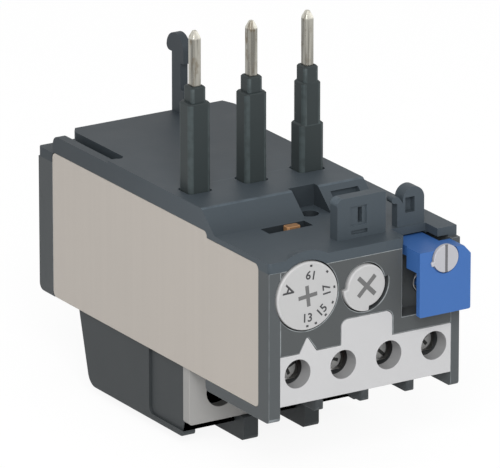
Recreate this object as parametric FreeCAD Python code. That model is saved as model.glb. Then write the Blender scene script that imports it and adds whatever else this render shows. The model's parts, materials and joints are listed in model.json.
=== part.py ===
"""Thermal overload relay that plugs under a three-pole contactor.

A lower housing and a top cover hold three bimetal poles, a trip train of two slides and a lever,
a pair of auxiliary contacts, a current dial, a test knob and a reset button.  Sizes are in
millimetres.  While the pieces are made, x runs from the left side to the right one, y from the
front panel to the rear, and z up from the feet of the side walls.  The export moves them to the
model frame, whose origin is the middle of the bounding box at its lowest level.
"""
import FreeCAD, Part
import math
import os

V = FreeCAD.Vector

# --- clearances ---------------------------------------------------------------------------------
running_gap = 0.05        # radial play of a shaft in its bearing
slide_gap = 0.3           # play round a sliding or swinging piece
seat_gap = 0.1            # play of a fixed piece in its seat

# --- housing ------------------------------------------------------------------------------------
housing_depth = 89.9
left_wall = 2.65
right_wall = 2.0
rear_wall = 2.0
floor_thickness = 1.8
parting_height = 31.4     # joint between the lower housing and the top cover
foot_depth = 24.0         # how far the deeper front stretch of the side walls runs back
rear_rise = 2.3           # height of the underside above those feet
foot_radius = 0.9
rear_corner_radius = 1.5
panel_thickness = 3.2
partition_thickness = 0.8
lever_room = 4.55         # between the last pole's stretch and the right wall, for the levers

# --- top cover ----------------------------------------------------------------------------------
rim_height = 2.1          # of the front ledge and of the rims round the plateau
plateau_rise = 4.5        # from the ledge to the plateau
slope_foot = 20.4
slope_top = 25.5
plateau_rear = 84.0
right_rim = 6.7           # width of the rim on the plateau's right
wide_start = 71.0         # where the plateau widens towards the rear
wide_rim = 3.0            # the same where the plateau is wide
cover_wall = 1.8
eyebrow_rise = 1.4         # of the arch over the dial above the ledge, at the front
eyebrow_depth = 5.0
rib_width = 2.0
groove_width = 2.0
groove_start = 61.0
rib_drop = 0.6
channel_left = 21.3
channel_width = 6.2
channel_rear = 27.0
channel_hole_radius = 1.9
channel_hole_inset = 2.5  # from the channel's left side to the hole's centre
channel_hole_y = 22.8
window_depth = 4.6
window_drop = 3.3         # height of the window at the foot of the right part of the slope
window_inset = 2.1        # from the plateau's right edge to the window
window_width = 6.6
flag_slot_left = 10.2
flag_slot_right = 20.5

# --- features standing on the ledge -------------------------------------------------------------
plate_left = 19.1
plate_width = 11.4
plate_front = 5.0
plate_depth = 2.7
plate_height = 8.6
plate_corner_radius = 1.4
plate_slot_width = 1.0
plate_slot_rise = 3.0
plate_slot_height = 3.2
lug_inset = 4.7           # from the housing's right side to the lug
lug_width = 5.1
lug_drop = 0.6             # from the plate's top to the lug's
lug_front = 6.0
lug_depth = 3.0
lug_recess_inset = 0.6
lug_recess_width = 2.2
lug_recess_height = 3.2
finger_thickness = 1.3
finger_depth = 2.0
finger_height = 6.4

# --- hook at the rear edge ----------------------------------------------------------------------
hook_inset = 7.8          # from the plateau's right edge to the hook
hook_width = 1.8
hook_front = 79.4
hook_head_radius = 3.35
hook_rise = 13.7          # centre of the round head above the plateau
hook_post_depth = 4.7
hook_notch_rise = 5.3
hook_notch_height = 5.7
hook_nose_radius = 1.2      # of the nose's lower corner
hook_notch_depth = 1.2

# --- line-side pins and their sleeves -----------------------------------------------------------
pole_first_x = 5.2
pole_pitch = 13.3
pole_y = 36.4
pin_width = 2.0
pin_depth = 2.2
pin_reach = 33.4          # from the plateau to the tip
pin_tip = 1.7
pin_point_share = 0.35    # width of the blunt point as a share of the pin's
pin_corner_cut = 0.3
tail_thickness = 1.6
tail_rear = 58.5
sleeve_width = 5.1
sleeve_depth = 4.5
sleeve_radius = 0.9
sleeve_height = 18.7
sleeve_top_bevel = 0.35
collar_width = 3.4
collar_depth = 3.5
collar_height = 3.3
stepped_width = 5.6       # lower stretch of the third sleeve, which is made in two steps
stepped_height = 10.0
sleeve_flange = 0.75
flange_thickness = 1.6

# --- bimetal strips and heaters -----------------------------------------------------------------
strip_thickness = 0.9
strip_width = 5.0
strip_y = 55.5
strip_bottom = 8.0
winding_low = 14.2
winding_turns = 5
turn_height = 2.0
turn_pitch = 3.04
winding_wall = 0.9
turn_wall = 0.5
trip_travel = 1.5         # travel of the two slides from rest to tripped

# --- slides and levers --------------------------------------------------------------------------
slide_thickness = 1.8
slide_depth = 3.0
slide_rear_offset = 1.5   # from the strips' rear edge to the slide bars
push_slide_low = 8.6
finger_reach = 1.5
lever_plate = 0.6
compensation_thickness = 0.3
trip_pivot_y = 44.0
trip_hub_radius = 1.35
trip_pin_radius = 0.7
boss_width = 2.7          # of the square bosses that hold the pivot pins
boss_height = 1.5
trip_arm_width = 1.4
trip_arm_height = 1.5
flag_height = 1.2
flag_depth = 2.0
flag_block_left = 15.0
flag_block_width = 3.1
flag_proud = 0.2
adjust_pivot_x = 15.0
adjust_pivot_y = 20.0
adjust_hub_radius = 1.9
adjust_pin_radius = 0.8
adjust_arm_width = 1.6
adjust_tail_length = 13.0
adjust_tail_offset = 3.0

# --- current dial -------------------------------------------------------------------------------
dial_x = 8.8
dial_drop = 5.9           # from the parting line to the dial's centre
dial_radius = 7.1
dial_front = -0.4
dial_thickness = 2.0
dial_slot_length = 4.4
dial_slot_width = 0.85
dial_slot_depth = 0.7
dial_shaft_radius = 2.2
cam_front = 6.4
cam_thickness = 2.4
cam_base_radius = 3.0
cam_rise = 0.9            # growth of the snail cam's radius over half a turn
boss_wall = 1.5
boss_length = 2.8

# --- test knob ----------------------------------------------------------------------------------
knob_x = 22.5
knob_drop = 6.2
knob_radius = 4.4
knob_front = -0.6
knob_thickness = 2.2
lug_radius = 5.3          # outer radius of the knob's stop lug
lug_start = 182.0
lug_sweep = 96.0
knob_turn = 90.0
lug_play = 4.0            # degrees between the lug and the ends of its recess
knob_slot_length = 5.6
knob_shaft_radius = 1.8
knob_finger_length = 4.2
knob_finger_width = 1.8

# --- reset button -------------------------------------------------------------------------------
reset_inset = 0.45        # from the housing's right side to the button
reset_width = 12.1
reset_front = -4.6
reset_height = 13.6
reset_drop = 0.1          # from the parting line to the button's top
reset_plate = 1.2
reset_brow = 2.2          # thickness of the plate's upper stretch
reset_head_depth = 4.9
reset_head_height = 4.4
reset_corner = 1.9
reset_travel = 2.2
reset_arm_width = 7.4
reset_arm_height = 2.0
reset_arm_rear = 6.8
arm_notch_rear = 5.8      # how far back the cover is open above the button's arm
reset_stem_radius = 1.5
reset_stem_drop = 9.0
reset_stem_rear = 6.6
pocket_side_gap = 1.15
pocket_low_gap = 0.8
pocket_depth = 4.6
pocket_wall = 1.2
pocket_rise = 0.4         # of the pocket's top above the parting line
rail_front = 1.3
selector_inset = 6.0      # from the button's left side to the selector
selector_drop = 1.93
selector_radius = 2.9
selector_proud = 0.45
selector_sunk = 0.4
selector_slot = 0.7
selector_stem_radius = 1.25
selector_stem_length = 3.4
selector_nub = 0.9
spring_wire = 0.5
spring_radius = 2.35
spring_turns = 4

# --- auxiliary terminals ------------------------------------------------------------------------
aux_edge = 4.065          # from the side walls to the outer terminals' centres
aux_count = 4
aux_z = 9.44
aux_hole_radius = 3.0
marking_bottom = 3.1
marking_top = 13.5
marking_thickness = 1.4
collar_wall = 0.9
collar_length = 2.0
pointer_left = 7.2
pointer_width = 4.0
pointer_gap = 1.6         # from the pointer to the dial's rim
tab_left = 17.0
tab_width = 12.0
tab_gap = 1.1             # from the tab to the knob's lug
tab_radius = 1.6
aux_fin_width = 2.0
aux_fin_nose = 0.9         # radius of the fins' upright front edges
aux_fin_bottom = 0.6
aux_cell_top = 13.9
aux_deck = 1.4
aux_cell_rear = 12.8
aux_rear_wall = 1.4
aux_screw_front = 4.3
aux_head_radius = 2.55
aux_head_height = 1.7
aux_shank_radius = 1.5
aux_clamp_width = 7.4
aux_clamp_height = 6.4
aux_clamp_thickness = 1.2
aux_bar_width = 7.2
aux_bar_thickness = 1.2
aux_bar_bottom = 4.4
contact_radius = 1.2
contact_height = 0.6
contact_drop = 2.6        # from the carrier to the contacts' centres
contact_opening = 1.2     # travel of the contact bridges
bridge_thickness = 0.6
bridge_height = 3.0
carrier_drop = 3.3        # from the dial's centre to the carrier
carrier_height = 1.7
carrier_front = 9.6
carrier_depth = 5.0
carrier_post_width = 4.0

# --- main terminals -----------------------------------------------------------------------------
block_inset = 0.6
block_recess = 0.5        # depth of the shallow panel in the block's sides
block_front = 33.7
block_bottom = -13.2
block_rear_top = 74.9
block_rear_bottom = 70.8
block_wall = 2.4
block_step_y = 47.0
block_rear_radius = 3.0
face_front = 31.3
face_thickness = 2.4
face_bottom = -10.1
face_hole_radius = 3.4
first_cell_width = 9.3    # the two other cells share the rest of the width
barrier_width = 3.4
barrier_front = 30.0
barrier_bottom = -15.3
barrier_rear = 49.4
barrier_radius = 0.9
main_z = -3.8
cage_front = 37.7
cage_length = 9.7
cage_width = 8.8
cage_wall = 1.2
cage_bottom = -7.8
cage_top = 0.2
main_head_radius = 3.0
main_head_height = 2.0
main_shank_radius = 1.9
main_screw_tip = 40.4
load_bar_width = 4.8
load_bar_thickness = 1.2
load_bar_bottom = -9.0
load_bar_top = 7.0
load_foot_rear = 49.0
lead_thickness = 0.7

# --- side label ---------------------------------------------------------------------------------
label_front = 4.1
label_rear = 84.3
label_step_y = 23.5
label_rise = 0.1          # of the label's top above the ledge
label_front_drop = 1.2
label_thickness = 0.3
label_radius = 1.2

# --- places worked out from the sizes -----------------------------------------------------------
housing_width = pole_first_x + 2.5 * pole_pitch + lever_room + right_wall
inner_left = left_wall
inner_right = housing_width - right_wall
floor_top = rear_rise + floor_thickness
ledge_height = parting_height + rim_height
plateau_height = ledge_height + plateau_rise
plateau_right = housing_width - right_rim
wide_right = housing_width - wide_rim
window_right = plateau_right - window_inset
window_left = window_right - window_width
plate_top = ledge_height + plate_height
plate_slot_low = ledge_height + plate_slot_rise
plate_slot_high = plate_slot_low + plate_slot_height
lug_left = housing_width - lug_inset - lug_width
hook_left = plateau_right - hook_inset - hook_width
hook_head_height = plateau_height + hook_rise
hook_notch_low = plateau_height + hook_notch_rise
hook_notch_high = hook_notch_low + hook_notch_height
pin_top = plateau_height + pin_reach
sleeve_top = plateau_height + sleeve_height
collar_top = sleeve_top + collar_height
stepped_top = plateau_height + stepped_height
flag_top = ledge_height + flag_proud
label_top = ledge_height + label_rise
label_front_top = ledge_height - label_front_drop
dial_z = parting_height - dial_drop
knob_z = parting_height - knob_drop
reset_right = housing_width - reset_inset
reset_left = reset_right - reset_width
reset_top = parting_height - reset_drop
reset_bottom = reset_top - reset_height
reset_stem_z = reset_top - reset_stem_drop
selector_x = reset_left + selector_inset
selector_z = reset_top - selector_drop
pocket_left = reset_left - pocket_side_gap
pocket_bottom = reset_bottom - pocket_low_gap
pocket_top = parting_height + pocket_rise
pointer_top = dial_z - dial_radius - pointer_gap
tab_top = knob_z - lug_radius - tab_gap
carrier_low = dial_z - carrier_drop
contact_z = carrier_low - contact_drop
aux_bar_top = carrier_low - slide_gap
aux_pitch = (inner_right - inner_left - 2 * aux_edge) / (aux_count - 1)
pole_x = [pole_first_x + i * pole_pitch for i in range(3)]
partition_x = [pole_x[0] + pole_pitch / 2, pole_x[1] + pole_pitch / 2,
               pole_x[2] + pole_pitch / 2 + partition_thickness]
aux_x = [inner_left + aux_edge + i * aux_pitch for i in range(aux_count)]
aux_bar_front = aux_cell_rear - aux_bar_thickness
cells_left = block_inset + block_recess + block_wall
cells_right = housing_width - block_inset - block_wall
other_cell_width = (cells_right - cells_left - first_cell_width) / 2 - barrier_width
cell_edges = [(cells_left, cells_left + first_cell_width)]
for i in range(2):
    cell_start = cell_edges[-1][1] + barrier_width
    cell_edges.append((cell_start, cell_start + other_cell_width))
barrier_x = [cell_end for cell_start, cell_end in cell_edges[:2]]
main_x = [(low + high) / 2 for low, high in cell_edges]
cage_rear = cage_front + cage_length
load_bar_rear = cage_rear - cage_wall
load_bar_front = load_bar_rear - load_bar_thickness
cover_under = plateau_height - cover_wall
flange_top = cover_under - seat_gap
tail_top = flange_top - flange_thickness - seat_gap
tail_low = tail_top - tail_thickness
strip_top = tail_low - running_gap
strip_front = strip_y - strip_width / 2
slide_front = strip_y + strip_width / 2 + slide_rear_offset
pull_slide_low = push_slide_low + slide_thickness + slide_gap
lever_left = partition_x[2] + partition_thickness / 2 + slide_gap
compensation_left = lever_left + lever_plate + slide_gap
trip_pivot_x = compensation_left + compensation_thickness / 2 + slide_gap
trip_arm_top = parting_height - 2 * slide_gap
flag_y = slope_foot - 2.5
flag_low = trip_arm_top - flag_height
cell_back = cage_rear + 0.2
origin = V(housing_width / 2, (reset_front - selector_proud + housing_depth) / 2, barrier_bottom)


# --- small tools --------------------------------------------------------------------------------
def at(axis, u, v, w):
    """Point at w along the axis and at u, v along the two others, in x, y, z order."""
    return {"x": V(w, u, v), "y": V(u, w, v), "z": V(u, v, w)}[axis]


def around(centre, width):
    """Low and high end of a width laid evenly about a centre."""
    return centre - width / 2, centre + width / 2


def box(x, y, z):
    """Block between the low and high ends given for each axis."""
    return Part.makeBox(x[1] - x[0], y[1] - y[0], z[1] - z[0], V(x[0], y[0], z[0]))


def rod(axis, centre, radius, ends):
    """Cylinder along an axis."""
    return Part.makeCylinder(radius, ends[1] - ends[0], at(axis, *centre, ends[0]), at(axis, 0, 0, 1))


def rounded_wire(axis, level, corners):
    """Closed outline; a corner is u, v and, if it is rounded, its radius."""
    stretches = []
    for i, corner in enumerate(corners):
        here = V(corner[0], corner[1], 0)
        back = V(*corners[i - 1][:2], 0) - here
        ahead = V(*corners[(i + 1) % len(corners)][:2], 0) - here
        radius = corner[2] if len(corner) > 2 else 0
        back.normalize()
        ahead.normalize()
        half = back.getAngle(ahead) / 2
        reach = radius / math.tan(half)
        middle = (back + ahead).normalize() * (radius / math.sin(half) - radius) if radius else V()
        stretches.append((here + back * reach, here + middle, here + ahead * reach, radius))
    edges = []
    for i, (start, middle, end, radius) in enumerate(stretches):
        if radius:
            edges.append(Part.Arc(*(at(axis, p.x, p.y, level) for p in (start, middle, end))).toShape())
        following = stretches[(i + 1) % len(stretches)][0]
        if (following - end).Length > 1e-6:
            edges.append(Part.LineSegment(at(axis, end.x, end.y, level),
                                          at(axis, following.x, following.y, level)).toShape())
    return Part.Wire(edges)


def prism(axis, ends, corners):
    """Solid of an outline drawn across an axis, between two levels."""
    return Part.Face(rounded_wire(axis, ends[0], corners)).extrude(at(axis, 0, 0, ends[1] - ends[0]))


def slab(axis, ends, u, v, radius):
    """Block with its four edges along one axis rounded."""
    return prism(axis, ends, [(u[0], v[0], radius), (u[1], v[0], radius),
                              (u[1], v[1], radius), (u[0], v[1], radius)])


def clipped(axis, ends, u, v, cut):
    """Block with its four edges along one axis cut off at 45 degrees."""
    return prism(axis, ends, [(u[0] + cut, v[0]), (u[1] - cut, v[0]), (u[1], v[0] + cut),
                              (u[1], v[1] - cut), (u[1] - cut, v[1]), (u[0] + cut, v[1]),
                              (u[0], v[1] - cut), (u[0], v[0] + cut)])


def sector(axis, centre, radius, start, sweep, ends):
    """Slice of a disc; angles are counted from the first of the two other axes to the second."""
    def rim(angle):
        turn = math.radians(angle)
        return at(axis, centre[0] + radius * math.cos(turn), centre[1] + radius * math.sin(turn), ends[0])
    hub = at(axis, *centre, ends[0])
    arc = Part.Arc(rim(start), rim(start + sweep / 2), rim(start + sweep)).toShape()
    sides = [Part.LineSegment(rim(start + sweep), hub).toShape(), Part.LineSegment(hub, rim(start)).toShape()]
    return Part.Face(Part.Wire([arc] + sides)).extrude(at(axis, 0, 0, ends[1] - ends[0]))


def join(*shapes):
    """One solid of several that meet."""
    return shapes[0].fuse(list(shapes[1:])).removeSplitter()


def bevel_end(shape, width, axis, level):
    """Bevel the edges of a shape's end face, which lies across an axis at a level."""
    along = at(axis, 0, 0, 1)

    def lies_in_face(edge):
        ends = [edge.valueAt(value) for value in (edge.FirstParameter, edge.LastParameter)]
        middle = edge.valueAt((edge.FirstParameter + edge.LastParameter) / 2)
        return all(near(point.dot(along), level) for point in ends + [middle])

    return shape.makeChamfer(width, [edge for edge in shape.Edges if lies_in_face(edge)])


def near(value, target):
    """Whether two lengths are the same."""
    return abs(value - target) < 1e-3


def slotted_head(centre, radius, height, shank, front, tip, slot):
    """Screw along y with a bevelled, slotted and cross-recessed head."""
    head = bevel_end(rod("y", centre, radius, (front, front + height)), height * 0.35, "y", front)
    body = join(head, rod("y", centre, shank, (front + height, tip)))
    depth = (front - 1, front + height * 0.5)
    driver = join(box(around(centre[0], 2 * radius + 1), depth, around(centre[1], slot)),
                  box(around(centre[0], slot), depth, around(centre[1], radius * 1.3)))
    return body.cut(driver)


# --- housing ------------------------------------------------------------------------------------
def side_wall(ends):
    """Side wall with its deeper, rounded front foot."""
    return prism("x", ends, [(0, 0, foot_radius), (foot_depth, 0, foot_radius), (foot_depth, rear_rise),
                             (housing_depth, rear_rise, rear_corner_radius),
                             (housing_depth, parting_height), (0, parting_height)])


def label_outline(margin):
    """Corners of the side label, grown by a margin."""
    return [(label_front - margin, rear_rise - margin, label_radius),
            (label_rear + margin, rear_rise - margin, label_radius),
            (label_rear + margin, label_top + margin, label_radius),
            (label_step_y - margin, label_top + margin, label_radius),
            (label_step_y - margin, label_front_top + margin),
            (label_front - margin, label_front_top + margin, label_radius)]


def label_recess():
    """Shallow seat of the side label."""
    return prism("x", (-1, label_thickness), label_outline(seat_gap))


def dial_seat():
    """Round seat of the current dial, sunk into the front."""
    return rod("y", (dial_x, dial_z), dial_radius + slide_gap,
               (-1, dial_front + dial_thickness + slide_gap))


def make_base_housing():
    """Lower shell: side walls, rear wall, floor and the partitions between the poles."""
    aux_rear = aux_cell_rear + aux_rear_wall
    inner_rear = housing_depth - rear_wall
    shell = join(side_wall((0, left_wall)), side_wall((inner_right, housing_width)),
                 box((left_wall / 2, housing_width - right_wall / 2), (inner_rear, housing_depth),
                     (rear_rise + rear_corner_radius, parting_height)),
                 box((left_wall / 2, housing_width - right_wall / 2),
                     (aux_rear, housing_depth - rear_corner_radius), (rear_rise, floor_top)))
    inside = parting_height - seat_gap
    for x in partition_x:
        shell = shell.fuse(box(around(x, partition_thickness), (pole_y + 4, inner_rear), (floor_top, inside)))
    cross = box((inner_left, partition_x[2]), around(pole_y + 4, partition_thickness), (floor_top, inside))
    pivots = [(trip_pivot_x, trip_pivot_y), (adjust_pivot_x, adjust_pivot_y)]
    bosses = [box(around(x, boss_width), around(y, boss_width), (floor_top - floor_thickness / 2,
                                                                 floor_top + boss_height)) for x, y in pivots]
    shell = join(shell, cross, *bosses)
    window = box((inner_left + partition_thickness, inner_right),
                 (slide_front - slide_gap, slide_front + slide_depth + slide_gap),
                 (push_slide_low - slide_gap, pull_slide_low + slide_thickness + slide_gap))
    slots = [box(around(x, load_bar_width + 2 * seat_gap),
                 (load_bar_front - seat_gap, load_bar_rear + seat_gap), (rear_rise - 1, floor_top + 1))
             for x in main_x]
    pins = [rod("z", (trip_pivot_x, trip_pivot_y), trip_pin_radius, (floor_top - 1, floor_top + 3)),
            rod("z", (adjust_pivot_x, adjust_pivot_y), adjust_pin_radius, (floor_top - 1, floor_top + 3))]
    feet = [load_foot(pole, x, seat_gap) for pole, x in zip(pole_x, main_x)]
    return shell.cut([window, dial_seat(), label_recess()] + slots + pins + feet)


def make_front_panel():
    """Front wall with the round seats of dial and knob and the pocket of the reset button."""
    panel = box((inner_left, inner_right), (0, panel_thickness), (marking_top, parting_height))
    pocket_rear = pocket_depth + pocket_wall
    pocket = box((pocket_left - pocket_wall, inner_right), (0, pocket_rear),
                 (pocket_bottom - pocket_wall, parting_height))
    arm_low = reset_top - reset_arm_height - slide_gap
    space = join(box((pocket_left, inner_right + 1), (-1, pocket_depth), (pocket_bottom, pocket_top + 1)),
                 box((pocket_left, inner_right + 1), (-1, pocket_rear + 1), (arm_low, pocket_top + 1)))
    boss_rear = panel_thickness + boss_length
    bosses = [rod("y", (dial_x, dial_z), dial_shaft_radius + boss_wall, (1, boss_rear)),
              rod("y", (knob_x, knob_z), knob_shaft_radius + boss_wall, (1, boss_rear))]
    panel = join(panel, pocket, *bosses).cut(space)
    knob_rear = knob_front + knob_thickness + slide_gap
    knob_seat = join(rod("y", (knob_x, knob_z), knob_radius + slide_gap, (-1, knob_rear)),
                     sector("y", (knob_x, knob_z), lug_radius + slide_gap, lug_start - lug_play,
                            lug_sweep + knob_turn + 2 * lug_play, (-1, knob_rear)))
    bores = [rod("y", (dial_x, dial_z), dial_shaft_radius + running_gap, (0, boss_rear + 1)),
             rod("y", (knob_x, knob_z), knob_shaft_radius + running_gap, (0, boss_rear + 1)),
             rod("y", (selector_x, reset_stem_z), reset_stem_radius + running_gap, (0, pocket_rear + 1))]
    seat = prism("y", (-1, marking_thickness), marking_outline(seat_gap))
    return panel.cut([dial_seat(), knob_seat, seat] + bores)


def make_plateau():
    """Raised middle of the cover, with the slope in front of it."""
    low = parting_height + 1
    main = prism("x", (0, plateau_right),
                 [(slope_foot - (ledge_height - low), low), (slope_foot, ledge_height),
                  (slope_top, plateau_height, 1.0), (plateau_rear, plateau_height), (plateau_rear, low)])
    wide = prism("z", (low, plateau_height), [(plateau_right - 2, wide_start), (wide_right, wide_start + 3),
                                              (wide_right, plateau_rear - 3), (wide_right - 1, plateau_rear),
                                              (plateau_right - 2, plateau_rear)])
    plateau = join(main, wide)
    groove = prism("z", (ledge_height, plateau_height + 1),
                   [(-1, groove_start + 1), (rib_width, groove_start + 1),
                    (rib_width + groove_width / 2, groove_start, groove_width / 2.01),
                    (rib_width + groove_width, groove_start + 1.5),
                    (rib_width + groove_width, plateau_rear - 2, 1.5),
                    (rib_width + groove_width + 2, plateau_rear + 1), (-1, plateau_rear + 1)])
    rib = prism("x", (0, rib_width), [(groove_start, low), (groove_start, plateau_height - rib_drop),
                                      (plateau_rear, plateau_height - rib_drop, 2.0), (plateau_rear, low)])
    return plateau.cut(groove).fuse(rib)


def make_eyebrow():
    """Arch that carries the cover's lip over the dial and runs out into the ledge."""
    level = ledge_height - dial_z
    cone = Part.makeCone(level + eyebrow_rise, level, eyebrow_depth, V(dial_x, 0, dial_z), V(0, 1, 0))
    return cone.common(box((0, 2 * dial_x), (0, eyebrow_depth), (ledge_height - 1, plateau_height)))


def make_ledge_plate():
    """Upright plate on the front ledge, with its slot in a shallow recess."""
    right = plate_left + plate_width
    plate = prism("y", (plate_front, plate_front + plate_depth),
                  [(plate_left, ledge_height - 1), (right, ledge_height - 1), (right, plate_top, 0.5),
                   (plate_left, plate_top, plate_corner_radius)])
    middle = (plate_left + right) / 2
    recess = box((middle - 2.6, middle + 1.2), (plate_front - 1, plate_front + 0.35),
                 (plate_slot_low - 0.4, plate_slot_high + 0.4))
    sill = box((middle - 2.4, middle + 1.4), (plate_front - 1, plate_front + 0.6),
               (plate_slot_low - 2.2, plate_slot_low - 1.4))
    slot = box(around(middle - 0.2, plate_slot_width), (plate_front - 1, plate_front + plate_depth + 1),
               (plate_slot_low, plate_slot_high))
    return plate.cut([recess, sill, slot])


def make_ledge_lug():
    """Half-round lug beside the reset button and the curved finger next to it."""
    middle = lug_left + lug_width / 2
    radius = lug_width / 2
    top = plate_top - lug_drop - radius
    lug = join(box(around(middle, lug_width), (lug_front, lug_front + lug_depth), (ledge_height - 1, top)),
               rod("y", (middle, top), radius, (lug_front, lug_front + lug_depth)))
    recess = box((lug_left + lug_recess_inset, lug_left + lug_recess_inset + lug_recess_width),
                 (lug_front - 1, lug_front + lug_depth / 2),
                 (top - lug_recess_height + 0.5, top + 0.5))
    left = lug_left - 2.6
    tip = ledge_height + finger_height
    finger = prism("y", (lug_front, lug_front + finger_depth),
                   [(left, tip, finger_thickness / 2.05),
                     (left, tip - finger_thickness, finger_thickness / 2.05),
                    (left + finger_thickness, tip - finger_thickness, 0.4),
                    (left + finger_thickness, ledge_height - 1),
                    (left + 2 * finger_thickness, ledge_height - 1),
                    (left + 2 * finger_thickness, tip - 1.5, 0.8), (left + 1.6, tip, 0.8)])
    return join(lug.cut(recess), finger)


def make_hook():
    """Hook that catches on the contactor above, on the rear edge of the plateau."""
    rear = hook_front + hook_post_depth
    middle = hook_front + hook_head_radius
    nose = middle + hook_head_radius
    side = (hook_left, hook_left + hook_width)
    low = hook_head_height - 0.9
    head = rod("x", (middle, hook_head_height), hook_head_radius, side)
    head = head.common(prism("x", side, [(hook_front - 1, low), (nose, low, hook_nose_radius),
                                         (nose, hook_head_height + hook_head_radius + 1),
                                         (hook_front - 1, hook_head_height + hook_head_radius + 1)]))
    post = box(side, (hook_front, min(rear, plateau_rear)),
               (plateau_height - 1, hook_head_height))
    bulge = prism("x", side,
                  [(hook_front, plateau_height - 1), (hook_front, plateau_height + 1.5),
                   (hook_front - 0.8, plateau_height - 1)])
    notch = box((hook_left - 1, hook_left + hook_width + 1), (hook_front - 1, hook_front + hook_notch_depth),
                (hook_notch_low, hook_notch_high))
    return join(post, head, bulge).cut(notch)


def make_top_cover():
    """Top cover with its ledge, slope, plateau, rails and the features that stand on them."""
    rim = slab("z", (parting_height, ledge_height), (0, housing_width), (0, housing_depth), 0.8)
    body = join(rim, make_plateau())
    hollow_front = channel_rear + cover_wall
    hollow = join(box((cover_wall, plateau_right - cover_wall), (hollow_front, plateau_rear - cover_wall),
                      (parting_height - 1, cover_under)),
                  box((inner_left, inner_right), (hollow_front, plateau_rear - cover_wall),
                      (parting_height - 1, ledge_height - cover_wall / 2)))
    keep_out = box((0, rib_width + groove_width + cover_wall), (groove_start - 1, plateau_rear),
                   (ledge_height - cover_wall / 2, plateau_height))
    body = body.cut(hollow.cut(keep_out))
    sleeves = [slab("z", (parting_height, plateau_height + 1),
                    around(x, (stepped_width if x == pole_x[2] else sleeve_width) + 2 * slide_gap),
                    around(pole_y, sleeve_depth + 2 * slide_gap), sleeve_radius) for x in pole_x]
    channel = box((channel_left, channel_left + channel_width), (slope_foot - 1, channel_rear),
                  (ledge_height, plateau_height + 1))
    hole = rod("z", (channel_left + channel_hole_inset, channel_hole_y), channel_hole_radius,
               (parting_height - 1, ledge_height + 1))
    window = prism("x", (window_left, window_right),
                   [(slope_foot - 1, ledge_height), (slope_foot + window_depth, ledge_height),
                    (slope_foot + window_depth, ledge_height + window_drop),
                    (slope_foot - 1, ledge_height + window_drop)])
    flag_slot = box((flag_slot_left, flag_slot_right), around(flag_y, flag_depth + 1.4),
                    (parting_height - 1, ledge_height + 1))
    channel_floor = box((channel_left - cover_wall, window_right + cover_wall),
                        (slope_foot, channel_rear + cover_wall), (parting_height, ledge_height))
    body = join(body, channel_floor, make_eyebrow(), make_ledge_plate(), make_ledge_lug(), make_hook())
    arm_side = (pocket_left + 1, reset_left + reset_arm_width + 2 * slide_gap)
    arm_notch = box(arm_side, (-1, arm_notch_rear), (parting_height - 1, ledge_height + 1))
    arm_way = box(arm_side, (-1, reset_arm_rear + reset_travel + slide_gap), (parting_height - 1, pocket_top))
    rail_cut = [box((pocket_left, housing_width + 1), (-1, rail_front),
                    (parting_height - 1, ledge_height + 1)),
                box((pocket_left, inner_right), (-1, pocket_depth + pocket_wall),
                    (parting_height - 1, pocket_top))]
    return body.cut(sleeves + [channel, hole, window, flag_slot, arm_notch, arm_way, dial_seat(),
                               label_recess()] + rail_cut)


def make_side_label():
    """Blank label on the left side."""
    return prism("x", (0.05, label_thickness), label_outline(0))


# --- marking plate and auxiliary terminals ------------------------------------------------------
def marking_outline(margin):
    """Outline of the light plate under the dial, grown by a margin at its top edges."""
    pointer_right = pointer_left + pointer_width
    pointer_apex = pointer_left + pointer_width * 0.45
    tab_right = tab_left + tab_width
    base = marking_top + margin
    return [(inner_left, marking_bottom), (inner_right, marking_bottom), (inner_right, base),
            (tab_right + margin, base), (tab_right + margin, tab_top + margin, tab_radius),
            (tab_left - margin, tab_top + margin, tab_radius), (tab_left - margin, base),
            (pointer_right + margin, base), (pointer_apex, pointer_top + margin, 0.3),
            (pointer_left - margin, base), (inner_left, base)]


def make_marking_plate():
    """Light plate with the pointer, the bare tab and the four screw holes with their square collars."""
    plate = prism("y", (0, marking_thickness), marking_outline(0))
    collar_width = 2 * (aux_hole_radius + collar_wall)
    collars = [box(around(x, collar_width), (marking_thickness / 2, marking_thickness + collar_length),
                   around(aux_z, collar_width)) for x in aux_x]
    holes = [rod("y", (x, aux_z), aux_hole_radius, (-1, marking_thickness + collar_length + 1))
             for x in aux_x]
    return join(plate, *collars).cut(holes)


def make_aux_terminal_block():
    """Comb of fins, deck and rear wall that makes the auxiliary terminal cells."""
    rear = aux_cell_rear + aux_rear_wall
    deck_top = aux_cell_top + aux_deck
    deck = box((inner_left, inner_right), (panel_thickness + seat_gap, rear), (aux_cell_top, deck_top))
    back = box((inner_left, inner_right), (aux_cell_rear, rear), (marking_bottom, deck_top))
    fin_x = [around(aux_x[i] + aux_pitch / 2, aux_fin_width) for i in range(aux_count - 1)]
    fins = [prism("x", sides,
                  [(0, aux_fin_bottom, 1.1), (rear, aux_fin_bottom, 1.1), (rear, deck_top),
                   (panel_thickness + seat_gap, deck_top), (panel_thickness + seat_gap, marking_top),
                   (marking_thickness, marking_top), (marking_thickness, marking_bottom),
                   (0, marking_bottom)]) for sides in fin_x]
    fins = [fin.common(slab("z", (0, deck_top), sides, (0, rear + aux_fin_nose), aux_fin_nose))
            for fin, sides in zip(fins, fin_x)]
    bars = [box(around(x, aux_bar_width + 2 * seat_gap), (aux_bar_front - seat_gap, aux_cell_rear + seat_gap),
                (aux_cell_top - 1, deck_top + 1)) for x in aux_x]
    tips = [rod("y", (x, aux_z), aux_shank_radius + seat_gap, (aux_cell_rear - 1, rear + 1)) for x in aux_x]
    collar_width = 2 * (aux_hole_radius + collar_wall + seat_gap)
    collars = [box(around(x, collar_width), (-1, marking_thickness + collar_length + seat_gap),
                   around(aux_z, collar_width)) for x in aux_x]
    return join(deck, back, *fins).cut(bars + tips + collars)


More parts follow.
